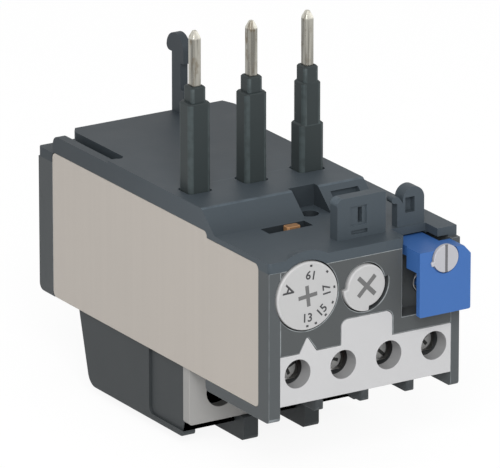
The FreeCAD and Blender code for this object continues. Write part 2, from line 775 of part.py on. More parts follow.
def make_aux_clamp(x):
    """Captive pressure plate under the head of an auxiliary screw."""
    front = aux_screw_front + aux_head_height
    plate = clipped("y", (front, front + aux_clamp_thickness), around(x, aux_clamp_width),
                    around(aux_z, aux_clamp_height), 0.6)
    return plate.cut(rod("y", (x, aux_z), aux_shank_radius + running_gap, (front - 1, front + 3)))


def make_aux_screws():
    """The four auxiliary terminal screws."""
    return Part.makeCompound([slotted_head((x, aux_z), aux_head_radius, aux_head_height, aux_shank_radius,
                                           aux_screw_front, aux_cell_rear + aux_rear_wall / 2, 0.7)
                              for x in aux_x])


def make_aux_bar(x, side):
    """Contact bar of an auxiliary terminal, with its fixed contact in front (-1) or behind (+1)."""
    bar = clipped("y", (aux_bar_front, aux_cell_rear), around(x, aux_bar_width),
                  (aux_bar_bottom, aux_bar_top), 0.8)
    bore = rod("y", (x, aux_z), aux_shank_radius + running_gap, (aux_bar_front - 1, aux_cell_rear + 1))
    face = aux_cell_rear if side > 0 else aux_bar_front - contact_height
    contact = rod("y", (x, contact_z), contact_radius, (face, face + contact_height))
    return join(bar, contact).cut(bore)


def bridge_front(side):
    """Front face of the closed-at-rest bridge (+1) or of the one that is open at rest (-1)."""
    if side > 0:
        return aux_cell_rear + contact_height + running_gap
    return aux_bar_front - contact_height - contact_opening - running_gap - bridge_thickness


def make_contact_bridge(first, side):
    """Moving contact bridge across two neighbouring auxiliary bars."""
    front = bridge_front(side)
    left, right = aux_x[first], aux_x[first + 1]
    return clipped("y", (front, front + bridge_thickness), (left - contact_radius, right + contact_radius),
                   around(contact_z, bridge_height), 0.8)


def make_contact_carrier():
    """Plastic carrier that moves both contact bridges to the rear when the relay trips."""
    rear = carrier_front + carrier_depth
    beam = clipped("z", (carrier_low, carrier_low + carrier_height), (aux_x[0] - 2, aux_x[3] + 2),
                   (carrier_front, rear), 0.8)
    closed = bridge_front(1) + bridge_thickness
    opened = bridge_front(-1)
    low = contact_z - bridge_height / 2
    middle = [(aux_x[0] + aux_x[1]) / 2, (aux_x[2] + aux_x[3]) / 2]
    rear_post = box(around(middle[0], carrier_post_width), (closed, closed + 1.4), (low, carrier_low + 1))
    rear_link = box(around(middle[0], carrier_post_width), (rear - 1, closed + 1.4),
                    (carrier_low, carrier_low + carrier_height))
    front_post = box(around(middle[1], carrier_post_width), (opened - 1.4, opened), (low, carrier_low + 1))
    front_link = box(around(middle[1], carrier_post_width), (opened - 1.4, carrier_front + 1),
                     (carrier_low, carrier_low + carrier_height))
    return join(beam, rear_link, rear_post, front_link, front_post)


# --- dial, knob and reset button ----------------------------------------------------------------
def cross_slot(centre, length, width, front, depth, turn):
    """Cross-shaped driver slot, as a tool to cut with."""
    ends = (front - 1, front + depth)
    cross = join(box(around(centre[0], length), ends, around(centre[1], width)),
                 box(around(centre[0], width), ends, around(centre[1], length)))
    cross.rotate(at("y", *centre, 0), V(0, 1, 0), turn)
    return cross


def make_current_dial():
    """Setting dial on its shaft."""
    rear = dial_front + dial_thickness
    disc = rod("y", (dial_x, dial_z), dial_radius, (dial_front, rear))
    disc = bevel_end(disc, 0.4, "y", dial_front)
    shaft = rod("y", (dial_x, dial_z), dial_shaft_radius, (rear, cam_front))
    slot = cross_slot((dial_x, dial_z), dial_slot_length, dial_slot_width, dial_front, dial_slot_depth, 6)
    return join(disc, shaft).cut(slot)


def make_dial_cam():
    """Snail cam on the rear end of the dial's shaft; its radius grows evenly over half a turn."""
    first, last, step = -20, 200, 55

    def rim(angle):
        turn = math.radians(angle)
        radius = cam_base_radius + cam_rise * angle / 180
        return V(dial_x + radius * math.cos(turn), cam_front, dial_z + radius * math.sin(turn))

    spiral = [Part.Arc(rim(angle), rim(angle + step / 2), rim(angle + step))
              for angle in range(first, last, step)]
    fall = Part.Arc(rim(last), V(dial_x, cam_front, dial_z - cam_base_radius), rim(first))
    face = Part.Face(Part.Wire([arc.toShape() for arc in spiral + [fall]]))
    return face.extrude(V(0, cam_thickness, 0))


def make_test_knob():
    """Test and stop knob with its stop lug, shaft and inner finger."""
    rear = knob_front + knob_thickness
    centre = (knob_x, knob_z)
    disc = join(rod("y", centre, knob_radius, (knob_front, rear)),
                sector("y", centre, lug_radius, lug_start, lug_sweep, (knob_front, rear)))
    disc = bevel_end(disc, 0.35, "y", knob_front)
    tip = cam_front + cam_thickness
    shaft = rod("y", centre, knob_shaft_radius, (rear, tip))
    finger = clipped("y", (cam_front + 0.3, tip), around(knob_x, knob_finger_width),
                     (knob_z, knob_z + knob_finger_length), 0.5)
    slot = cross_slot(centre, knob_slot_length, dial_slot_width, knob_front, dial_slot_depth, 45)
    return join(disc, shaft, finger).cut(slot)


def make_reset_button():
    """Reset button: front plate, deeper head, arm under the cover and guide stem."""
    plate_rear = reset_front + reset_plate
    head_low = reset_top - reset_head_height
    corner = [(reset_right, reset_top - reset_corner, 0.5),
              (reset_right - reset_corner * 0.9, reset_top, 0.5), (reset_left, reset_top)]
    outline = [(reset_left, reset_bottom, 0.4), (reset_right, reset_bottom, 0.4)] + corner
    plate = prism("y", (reset_front, plate_rear), outline)
    brow = prism("y", (plate_rear - 0.4, reset_front + reset_brow),
                 [(reset_left, head_low), (reset_right, head_low)] + corner)
    head_rear = reset_front + reset_head_depth
    head = box((reset_left, inner_right - slide_gap), (reset_front + 0.4, head_rear), (head_low, reset_top))
    arm = box((reset_left + slide_gap, reset_left + slide_gap + reset_arm_width),
              (head_rear - 1, reset_arm_rear), (reset_top - reset_arm_height, reset_top))
    stem = rod("y", (selector_x, reset_stem_z), reset_stem_radius, (plate_rear - 0.4, reset_stem_rear))
    button = join(plate, brow, head, arm, stem)
    seat = rod("y", (selector_x, selector_z), selector_radius + slide_gap,
               (reset_front - 1, reset_front + selector_sunk))
    bore = rod("y", (selector_x, selector_z), selector_stem_radius + running_gap,
               (reset_front - 1, reset_front + selector_sunk + selector_stem_length + slide_gap))
    return button.cut([seat, bore])


def make_reset_selector():
    """Slotted selector in the reset button, for manual or automatic reset."""
    centre = (selector_x, selector_z)
    front = reset_front - selector_proud
    rear = reset_front + selector_sunk - running_gap
    disc = rod("y", centre, selector_radius, (front, rear))
    nub = prism("y", (front, rear - selector_sunk),
                [(selector_x, selector_z + 0.6), (selector_x, selector_z - 0.6),
                 (selector_x - selector_radius - selector_nub, selector_z - 0.35, 0.3),
                 (selector_x - selector_radius - selector_nub, selector_z + 0.35, 0.3)])
    nub.rotate(at("y", *centre, 0), V(0, 1, 0), -14)
    disc = join(disc, nub)
    stem = rod("y", centre, selector_stem_radius, (rear, rear + selector_stem_length))
    slot = box(around(selector_x, selector_slot), (front - 1, front + 0.45),
               around(selector_z, 2 * selector_radius + 1))
    return join(disc, stem).cut(slot)


def make_reset_spring():
    """Coil spring of square wire on the stem of the reset button."""
    start = reset_front + reset_plate + spring_wire / 2 + running_gap
    length = pocket_depth - start - spring_wire / 2 - running_gap
    helix = Part.makeHelix(length / spring_turns, length, spring_radius)
    half = spring_wire / 2
    corners = [V(spring_radius + half, 0, -half), V(spring_radius + half, 0, half),
               V(spring_radius - half, 0, half), V(spring_radius - half, 0, -half)]
    section = Part.makePolygon(corners + corners[:1])
    coil = Part.Wire(helix).makePipeShell([section], True, True)
    coil.rotate(V(), V(1, 0, 0), -90)
    coil.translate(V(selector_x, start, reset_stem_z))
    return coil


# --- poles --------------------------------------------------------------------------------------
def make_contact_pin(x):
    """Line-side pin with a pointed tip, bent to the rear inside the cover."""
    section = [around(x, pin_width), around(pole_y, pin_depth)]
    shoulder = pin_top - pin_tip
    post = clipped("z", (tail_low + pin_depth / 2, shoulder), *section, pin_corner_cut)

    def cross_section(level, share):
        left, right = around(x, pin_width * share)
        front, rear = around(pole_y, pin_depth * share)
        return rounded_wire("z", level, [(left, front), (right, front), (right, rear), (left, rear)])

    point = Part.makeLoft([cross_section(shoulder, 1), cross_section(pin_top, pin_point_share)], True)
    tip = point.common(clipped("z", (shoulder, pin_top), *section, pin_corner_cut))
    front, rear = section[1]
    tail = prism("x", section[0], [(front, tail_low, 0.8), (tail_rear, tail_low), (tail_rear, tail_top),
                                   (rear, tail_top), (rear, tail_top + 1), (front, tail_top + 1)])
    return join(post, tail, tip)


def make_pin_sleeve(x, stepped):
    """Insulating sleeve of a pin; the stepped one has a wider foot."""
    floor = flange_top - flange_thickness
    foot_width = stepped_width if stepped else sleeve_width
    waist = stepped_top if stepped else sleeve_top
    flange = box(around(x, foot_width + 2 * sleeve_flange), around(pole_y, sleeve_depth + 2 * sleeve_flange),
                 (floor, flange_top))

    def stage(low, high, width, depth, radius):
        block = slab("z", (low, high), around(x, width), around(pole_y, depth), radius)
        return bevel_end(block, sleeve_top_bevel, "z", high)

    pieces = [flange, stage(floor, waist, foot_width, sleeve_depth, sleeve_radius)]
    if stepped:
        pieces.append(stage(waist - 1, sleeve_top, sleeve_width - 0.7, sleeve_depth - 0.3, sleeve_radius))
    pieces.append(stage(sleeve_top - 1, collar_top, collar_width, collar_depth, sleeve_radius * 0.7))
    passage = box(around(x, pin_width + 2 * running_gap), around(pole_y, pin_depth + 2 * running_gap),
                  (floor - 1, collar_top + 1))
    return join(*pieces).cut(passage)


def make_bimetal_strip(x):
    """Bimetal strip that hangs from the tail of a pin."""
    return clipped("x", around(x, strip_thickness), around(strip_y, strip_width),
                   (strip_bottom, strip_top), 0.6)


def make_heater_winding(x):
    """Insulating sleeve on a bimetal strip with the heater ribbon wound round it."""
    inner = [strip_thickness + 2 * running_gap, strip_width + 2 * running_gap]
    height = winding_turns * turn_pitch
    core = clipped("z", (winding_low, winding_low + height), around(x, inner[0] + 2 * winding_wall),
                   around(strip_y, inner[1] + 2 * winding_wall), 0.5)
    wide = winding_wall + turn_wall
    turns = [clipped("z", around(winding_low + (i + 0.5) * turn_pitch, turn_height),
                     around(x, inner[0] + 2 * wide), around(strip_y, inner[1] + 2 * wide), 0.8)
             for i in range(winding_turns)]
    passage = box(around(x, inner[0]), around(strip_y, inner[1]), (winding_low - 1, winding_low + height + 1))
    return join(core, *turns).cut(passage)


def load_foot(pole, x, margin):
    """Foot of a load bar that reaches across to its pole, grown by a margin."""
    return box((pole - lead_thickness * 2 - margin, x + load_bar_width / 2 + margin),
               (load_bar_front - margin, load_foot_rear + margin),
               (load_bar_top - load_bar_thickness - margin, load_bar_top + margin))


def make_load_bar(pole, x):
    """Load-side bar from the heater down into a main terminal clamp."""
    blade = clipped("y", (load_bar_front, load_bar_rear), around(x, load_bar_width),
                    (load_bar_bottom, load_bar_top), 0.5)
    return join(blade, load_foot(pole, x, 0))


def make_heater_lead(pole):
    """Flexible lead between a heater winding and its load bar."""
    reach = strip_front - winding_wall - turn_wall - slide_gap
    start = load_foot_rear - 3
    low = load_bar_top
    rise = winding_low + turn_height
    return prism("x", around(pole, 2 * lead_thickness),
                 [(start, low), (reach, low, 2.0), (reach, rise), (reach - lead_thickness, rise),
                  (reach - lead_thickness, low + lead_thickness, 1.3), (start, low + lead_thickness)])


# --- main terminals -----------------------------------------------------------------------------
def make_terminal_block():
    """Lower block with three terminal cells, open at the front and below, and two barrier fins."""
    left, right = block_inset, housing_width - block_inset
    body = prism("x", (left, right), [(block_front, block_bottom, 0.8),
                                      (block_rear_bottom, block_bottom, block_rear_radius),
                                      (block_rear_top, rear_rise), (block_front, rear_rise)])
    fin_top = face_bottom - seat_gap
    fins = [prism("x", (x, x + barrier_width),
                  [(barrier_front, barrier_bottom, barrier_radius),
                   (barrier_rear, barrier_bottom, barrier_radius),
                   (barrier_rear, rear_rise - 2), (block_front, rear_rise - 2), (block_front, fin_top),
                   (barrier_front, fin_top)]) for x in barrier_x]
    cells = [box(edges, (block_front - 1, cell_back), (block_bottom - 1, rear_rise - block_wall / 2))
             for edges in cell_edges]
    slots = [box(around(x, load_bar_width + 2 * seat_gap),
                 (load_bar_front - seat_gap, load_bar_rear + seat_gap),
                 (rear_rise - block_wall, rear_rise + 1)) for x in main_x]
    rear_room = prism("x", (left + block_wall, right - block_wall),
                      [(cell_back + block_wall, block_bottom + block_wall),
                       (block_rear_bottom - block_wall, block_bottom + block_wall, block_rear_radius / 2),
                       (block_rear_top - block_wall, rear_rise + 1),
                       (cell_back + block_wall, rear_rise + 1)])
    panel = [(block_front - 1, block_bottom + 1.2), (block_step_y, block_bottom + 1.2, 1.5),
             (block_step_y, rear_rise + 1), (block_front - 1, rear_rise + 1)]
    panels = [prism("x", (left - 1, left + block_recess), panel),
              prism("x", (right - block_recess, right + 1), panel)]
    return join(body.cut(cells), *fins).cut(slots + panels + [rear_room])


def make_terminal_face():
    """Light front piece of the main terminals, with a screw hole in front of each cell."""
    left, right = block_inset, housing_width - block_inset
    rear = face_front + face_thickness
    face = prism("y", (face_front, rear), [(left, face_bottom, 0.8), (right, face_bottom, 0.8),
                                           (right, rear_rise), (left, rear_rise)])
    tongue = [box((low + seat_gap, high - seat_gap), (rear - 0.5, block_front + 0.6),
                  (face_bottom + 1, face_bottom + 3)) for low, high in cell_edges]
    holes = [rod("y", (x, main_z), face_hole_radius, (face_front - 1, block_front + 1)) for x in main_x]
    return join(face, *tongue).cut(holes)


def make_main_clamp(x):
    """Box clamp of a main terminal, open upwards and downwards."""
    outer = clipped("z", (cage_bottom, cage_top), around(x, cage_width), (cage_front, cage_rear), 0.8)
    inner = box(around(x, cage_width - 2 * cage_wall), (cage_front + cage_wall, load_bar_rear),
                (cage_bottom - 1, cage_top + 1))
    thread = rod("y", (x, main_z), main_shank_radius + running_gap, (cage_front - 1, cage_front + 2))
    return outer.cut([inner, thread])


def make_main_screws():
    """The three main terminal screws."""
    return Part.makeCompound([slotted_head((x, main_z), main_head_radius, main_head_height, main_shank_radius,
                                           cage_front - main_head_height - seat_gap, main_screw_tip, 0.8)
                              for x in main_x])


# --- trip train ---------------------------------------------------------------------------------
def make_slide(low, side, right_end):
    """Slide across the three poles, with a finger on one side of each strip."""
    bar = box((pole_x[0] - 1.5, right_end), (slide_front, slide_front + slide_depth),
              (low, low + slide_thickness))
    reach = strip_thickness / 2 + slide_gap
    fingers = []
    for x in pole_x:
        ends = sorted([x + side * reach, x + side * (reach + finger_reach)])
        fingers.append(box(ends, (strip_front + 1, slide_front + 1), (low, low + slide_thickness)))
    return join(bar, *fingers)


def make_differential_lever():
    """Lever on the end of the slides that passes their motion on."""
    low = push_slide_low - slide_gap - 2
    high = pull_slide_low + slide_thickness
    return clipped("x", (lever_left, lever_left + lever_plate),
                   around(slide_front + slide_depth / 2, slide_depth - 0.4), (low, high), 0.6)


def make_compensation_bimetal():
    """Ambient compensation strip between the differential lever and the trip lever."""
    return clipped("x", (compensation_left, compensation_left + compensation_thickness),
                   (trip_pivot_y + trip_hub_radius * 0.8, slide_front + slide_depth),
                   (push_slide_low - 1, pull_slide_low + slide_thickness), 0.8)


def make_trip_lever():
    """Lever on an upright pin; its long front arm pushes the trip flag."""
    low = floor_top + boss_height + slide_gap
    pivot = (trip_pivot_x, trip_pivot_y)
    hub = rod("z", pivot, trip_hub_radius, (low, trip_arm_top))
    tip_x = plateau_right + 0.9 + trip_arm_width / 2
    half = trip_arm_width / 2
    arm = prism("z", (trip_arm_top - trip_arm_height, trip_arm_top),
                [(trip_pivot_x - half, trip_pivot_y), (tip_x - half, flag_y - 1),
                 (tip_x + half, flag_y - 1), (trip_pivot_x + half, trip_pivot_y)])
    bore = rod("z", pivot, trip_pin_radius + running_gap, (low - 1, trip_arm_top + 1))
    return join(hub, arm).cut([bore, make_compensation_bimetal()])


def make_trip_flag():
    """Trip indicator: a flat bar under the cover with a block that shows in the slot."""
    right = plateau_right + 0.9 - slide_gap
    bar = box((flag_block_left - 1, right), around(flag_y, flag_depth), (flag_low, flag_low + flag_height))
    block = clipped("z", (flag_low, flag_top), (flag_block_left, flag_block_left + flag_block_width),
                    around(flag_y, flag_depth), 0.3)
    return join(bar, block)


def make_adjusting_lever():
    """Lever whose nose follows the dial's cam."""
    half = adjust_arm_width / 2
    low, high = dial_z - 1.1, dial_z + 1.1
    nose_x = dial_x + cam_base_radius + slide_gap + half
    nose_y = cam_front + cam_thickness / 2
    pivot = (adjust_pivot_x, adjust_pivot_y)
    hub = rod("z", pivot, adjust_hub_radius, (low, high))
    arm = prism("z", (low, high), [(adjust_pivot_x - half, adjust_pivot_y), (nose_x - half, nose_y, 0.5),
                                   (nose_x + half, nose_y, 0.5), (adjust_pivot_x + half, adjust_pivot_y)])
    tail_x = adjust_pivot_x + adjust_tail_length
    tail_y = adjust_pivot_y + adjust_tail_offset
    tail = prism("z", (low, high), [(adjust_pivot_x, adjust_pivot_y - half), (tail_x, tail_y),
                                    (tail_x, tail_y + half), (adjust_pivot_x, adjust_pivot_y + half)])
    bore = rod("z", pivot, adjust_pin_radius + running_gap, (low - 1, high + 1))
    return join(hub, arm, tail).cut(bore)


def make_pivot_pins():
    """Upright steel pins of the trip lever and of the adjusting lever."""
    foot = floor_top - 1
    return Part.makeCompound([
        rod("z", (trip_pivot_x, trip_pivot_y), trip_pin_radius, (foot, parting_height - running_gap)),
        rod("z", (adjust_pivot_x, adjust_pivot_y), adjust_pin_radius, (foot, parting_height - running_gap))])


def all_parts():
    """Every node of the relay, by name."""
    parts = {
        "base_housing": make_base_housing(),
        "front_panel": make_front_panel(),
        "top_cover": make_top_cover(),
        "side_label": make_side_label(),
        "marking_plate": make_marking_plate(),
        "aux_terminal_block": make_aux_terminal_block(),
        "aux_terminal_screws": make_aux_screws(),
        "normally_closed_bridge": make_contact_bridge(0, 1),
        "normally_open_bridge": make_contact_bridge(2, -1),
        "contact_carrier": make_contact_carrier(),
        "current_dial": make_current_dial(),
        "dial_cam": make_dial_cam(),
        "test_knob": make_test_knob(),
        "reset_button": make_reset_button(),
        "reset_selector": make_reset_selector(),
        "reset_spring": make_reset_spring(),
        "terminal_block": make_terminal_block(),
        "terminal_face": make_terminal_face(),
        "main_terminal_screws": make_main_screws(),
        "push_slide": make_slide(push_slide_low, 1, lever_left),
        "pull_slide": make_slide(pull_slide_low, -1, lever_left),
        "differential_lever": make_differential_lever(),
        "compensation_bimetal": make_compensation_bimetal(),
        "trip_lever": make_trip_lever(),
        "trip_flag": make_trip_flag(),
        "adjusting_lever": make_adjusting_lever(),
        "pivot_pins": make_pivot_pins(),
    }
    for i, x in enumerate(aux_x):
        parts[f"aux_clamp_{i + 1}"] = make_aux_clamp(x)
        parts[f"aux_contact_bar_{i + 1}"] = make_aux_bar(x, 1 if i < 2 else -1)
    for i, x in enumerate(pole_x):
        parts[f"contact_pin_{i + 1}"] = make_contact_pin(x)
        parts[f"pin_sleeve_{i + 1}"] = make_pin_sleeve(x, stepped=i == 2)
        parts[f"bimetal_strip_{i + 1}"] = make_bimetal_strip(x)
        parts[f"heater_winding_{i + 1}"] = make_heater_winding(x)
        parts[f"load_bar_{i + 1}"] = make_load_bar(x, main_x[i])
        parts[f"heater_lead_{i + 1}"] = make_heater_lead(x)
        parts[f"main_clamp_{i + 1}"] = make_main_clamp(main_x[i])
    return parts


os.makedirs("parts", exist_ok=True)
for name, shape in all_parts().items():
    shape.translate(-origin)
    shape.exportStep(f"parts/{name}.step")
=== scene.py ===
"""Dresses a thermal overload relay: housings, terminals, dials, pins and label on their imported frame."""

from __future__ import annotations

import json
import logging
import math
from dataclasses import dataclass
from enum import Enum

import bmesh
import bpy
from mathutils import Matrix, Vector


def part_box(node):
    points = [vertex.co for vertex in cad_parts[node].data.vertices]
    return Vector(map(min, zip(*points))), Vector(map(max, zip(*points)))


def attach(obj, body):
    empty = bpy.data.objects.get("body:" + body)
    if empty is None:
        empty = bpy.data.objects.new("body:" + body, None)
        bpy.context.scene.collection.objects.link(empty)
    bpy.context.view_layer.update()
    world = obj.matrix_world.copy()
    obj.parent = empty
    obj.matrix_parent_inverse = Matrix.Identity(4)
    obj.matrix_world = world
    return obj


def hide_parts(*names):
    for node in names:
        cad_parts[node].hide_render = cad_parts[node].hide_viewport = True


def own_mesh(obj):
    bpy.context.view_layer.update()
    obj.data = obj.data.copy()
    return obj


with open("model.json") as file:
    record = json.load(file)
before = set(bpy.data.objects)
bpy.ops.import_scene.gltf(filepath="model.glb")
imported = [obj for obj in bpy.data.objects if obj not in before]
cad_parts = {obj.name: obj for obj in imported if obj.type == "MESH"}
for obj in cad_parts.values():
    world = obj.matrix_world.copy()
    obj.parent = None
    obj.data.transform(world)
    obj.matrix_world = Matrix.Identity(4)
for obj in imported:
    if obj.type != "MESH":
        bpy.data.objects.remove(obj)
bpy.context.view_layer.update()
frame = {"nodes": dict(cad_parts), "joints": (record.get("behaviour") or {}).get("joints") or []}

MM = 0.001
WELD = 1e-6                          # corners nearer than this are one corner
APART = WELD * 10                    # keeps the forms of one piece from sharing a face
FLAT = 0.99                          # least share of a normal along an axis that a face looks along
LEVEL_BEND = math.radians(1.0)       # faces that bend less than this lie in one plane
MOULDED_BEND = math.radians(4.0)     # least bend along a strip of a moulded rounding
SHARP_BEND = math.radians(25.0)      # least bend of an edge that gets rounded
CROSSING = math.radians(35.0)        # least angle at which a neighbour crosses an edge
SHADED_BEND = math.radians(48.0)     # least bend of an edge that stays crisp when shaded
QUARTER = math.radians(90.0)
log = logging.getLogger("relay")

Colour = tuple[float, float, float]
Triple = tuple[float, float, float]
Hollow = tuple[Triple, Triple, float]    # low corner, high corner, shade


def paint(red: int, green: int, blue: int) -> Colour:
    """Gives a colour in linear light.

    Args:
        red: Red on a display, 0 to 255.
        green: Green on a display, 0 to 255.
        blue: Blue on a display, 0 to 255.

    Returns:
        The three linear values, 0 to 1.
    """
    def linear(level: int) -> float:
        """Gives one channel in linear light."""
        share = level / 255.0
        return share / 12.92 if share <= 0.04045 else ((share + 0.055) / 1.055) ** 2.4
    return (linear(red), linear(green), linear(blue))


def scaled(colour: Colour, factor: float) -> Colour:
    """Gives a colour made lighter or darker by a factor."""
    return tuple(min(1.0, level * factor) for level in colour)


class Signal:
    """A value that flows through a material's nodes; plain arithmetic on it adds Math nodes."""

    def __init__(self, graph: Graph, socket: bpy.types.NodeSocket) -> None:
        """Wraps a node's output socket."""
        self.graph = graph
        self.socket = socket

    def _math(self, operation: str, first: Signal | float, second: Signal | float) -> Signal:
        """Adds one Math node.

        Args:
            operation: The node's operation.
            first: Value or signal of its first socket.
            second: Value or signal of its second socket.

        Returns:
            The result as a signal.
        """
        made = self.graph.node("ShaderNodeMath", {"operation": operation}, {0: first, 1: second})
        return Signal(self.graph, made.outputs[0])

    def __add__(self, other: Signal | float) -> Signal:
        """Adds a value."""
        return self._math("ADD", self, other)

    def __radd__(self, other: float) -> Signal:
        """Adds a value from the left."""
        return self._math("ADD", other, self)

    def __sub__(self, other: Signal | float) -> Signal:
        """Takes a value away."""
        return self._math("SUBTRACT", self, other)

    def __rsub__(self, other: float) -> Signal:
        """Takes the signal away from a value."""
        return self._math("SUBTRACT", other, self)

    def __mul__(self, other: Signal | float) -> Signal:
        """Multiplies by a value."""
        return self._math("MULTIPLY", self, other)

    def __rmul__(self, other: float) -> Signal:
        """Multiplies by a value from the left."""
        return self._math("MULTIPLY", other, self)

    def between(self, low: float, high: float) -> Signal:
        """Stretches the signal between two limits, with soft ends.

        Args:
            low: What becomes 0.
            high: What becomes 1.

        Returns:
            The stretched signal.
        """
        made = self.graph.node("ShaderNodeMapRange", {"interpolation_type": "SMOOTHSTEP"},
                               {"Value": self, "From Min": low, "From Max": high})
        return Signal(self.graph, made.outputs["Result"])


class Graph:
    """The nodes of one tree."""

    def __init__(self, tree: bpy.types.NodeTree) -> None:
        """Starts with an empty tree."""
        self.tree = tree
        self.tree.nodes.clear()

    def node(self, kind: str, settings: dict | None = None, inputs: dict | None = None) -> bpy.types.Node:
        """Makes one node: its settings first, then its sockets.

        Args:
            kind: The node's type.
            settings: The node's properties.
            inputs: Values, signals or sockets by the input's name or number.

        Returns:
            The node.
        """
        made = self.tree.nodes.new(kind)
        for key, value in (settings or {}).items():
            setattr(made, key, value)
        for key, value in (inputs or {}).items():
            source = value.socket if isinstance(value, Signal) else value
            if isinstance(source, bpy.types.NodeSocket):
                self.tree.links.new(source, made.inputs[key])
            elif isinstance(source, tuple) and len(source) == 3 and made.inputs[key].type == "RGBA":
                made.inputs[key].default_value = (*source, 1.0)
            else:
                made.inputs[key].default_value = source
        return made

    def seen(self) -> Signal:
        """Tells rays from the eye, a gloss or a glass from soft light.

        Returns:
            1 for such a ray, 0 for soft light.
        """
        way = self.node("ShaderNodeLightPath")
        rays = [Signal(self, way.outputs[f"Is {kind} Ray"]) for kind in ("Camera", "Glossy", "Transmission")]
        return (rays[0] + rays[1] + rays[2]).between(0.0, 1.0)


class Surface(Graph):
    """The nodes of one material, which end in one principled shader."""

    def __init__(self, name: str) -> None:
        """Starts an empty material with its shader and output.

        Args:
            name: The material's name.
        """
        self.material = bpy.data.materials.new(name)
        self.material.use_nodes = True
        super().__init__(self.material.node_tree)
        self.shader = self.node("ShaderNodeBsdfPrincipled")
        self.end = self.node("ShaderNodeOutputMaterial", {}, {"Surface": self.shader.outputs[0]})
        self.place = self.node("ShaderNodeTexCoord").outputs["Object"]

    def noise(self, size: float, detail: float = 2.0, stretch: Triple = (1.0, 1.0, 1.0)) -> Signal:
        """Makes cloudy noise.

        Args:
            size: Width of its clouds, in metres.
            detail: How many finer layers it has.
            stretch: Share of the size along each axis, where below 1 draws the clouds out.

        Returns:
            The noise, 0 to 1.
        """
        turned = self.node("ShaderNodeMapping", {}, {"Vector": self.place, "Scale": stretch})
        made = self.node("ShaderNodeTexNoise", {}, {"Vector": turned.outputs[0], "Scale": 1.0 / size,
                                                    "Detail": detail, "Roughness": 0.55})
        return Signal(self, made.outputs[0])

    def mix(self, share: Signal | float, first: object, second: object) -> bpy.types.NodeSocket:
        """Mixes two colours.

        Args:
            share: How much of the second colour there is.
            first: A colour or a colour socket.
            second: A colour or a colour socket.

        Returns:
            The mixed colour's socket.
        """
        made = self.node("ShaderNodeMix", {"data_type": "RGBA"}, {"Factor": share, 6: first, 7: second})
        return made.outputs[2]

    def attribute(self, name: str) -> Signal:
        """Reads one of the piece's own attributes as a value."""
        return Signal(self, self.node("ShaderNodeAttribute", {"attribute_name": name}).outputs["Fac"])

    def height(self, axis: int) -> Signal:
        """Gives the place along one axis, in metres."""
        made = self.node("ShaderNodeSeparateXYZ", {}, {0: self.place})
        return Signal(self, made.outputs[axis])

    def dress(self, **sockets: object) -> None:
        """Sets or links the shader's own sockets.

        Args:
            sockets: Values, signals or sockets by the input's name, with _ for a space.
        """
        for key, value in sockets.items():
            name = key.replace("_", " ")
            source = value.socket if isinstance(value, Signal) else value
            if isinstance(source, bpy.types.NodeSocket):
                self.tree.links.new(source, self.shader.inputs[name])
            elif isinstance(source, tuple):
                self.shader.inputs[name].default_value = (*source, 1.0)
            else:
                self.shader.inputs[name].default_value = source

    def bump(self, relief: Signal, depth: float) -> None:
        """Gives the surface a fine relief."""
        made = self.node("ShaderNodeBump", {}, {"Height": relief, "Distance": depth, "Strength": 1.0})
        self.dress(Normal=made.outputs[0])

    def glow(self, share: Signal, strength: float) -> None:
        """Mixes white light of its own into the surface.

        Args:
            share: How much of it shows.
            strength: Strength of the light, where 1 is white.
        """
        light = self.node("ShaderNodeEmission", {}, {"Strength": strength})
        both = self.node("ShaderNodeMixShader", {},
                         {0: share, 1: self.shader.outputs[0], 2: light.outputs[0]})
        self.tree.links.new(both.outputs[0], self.end.inputs["Surface"])


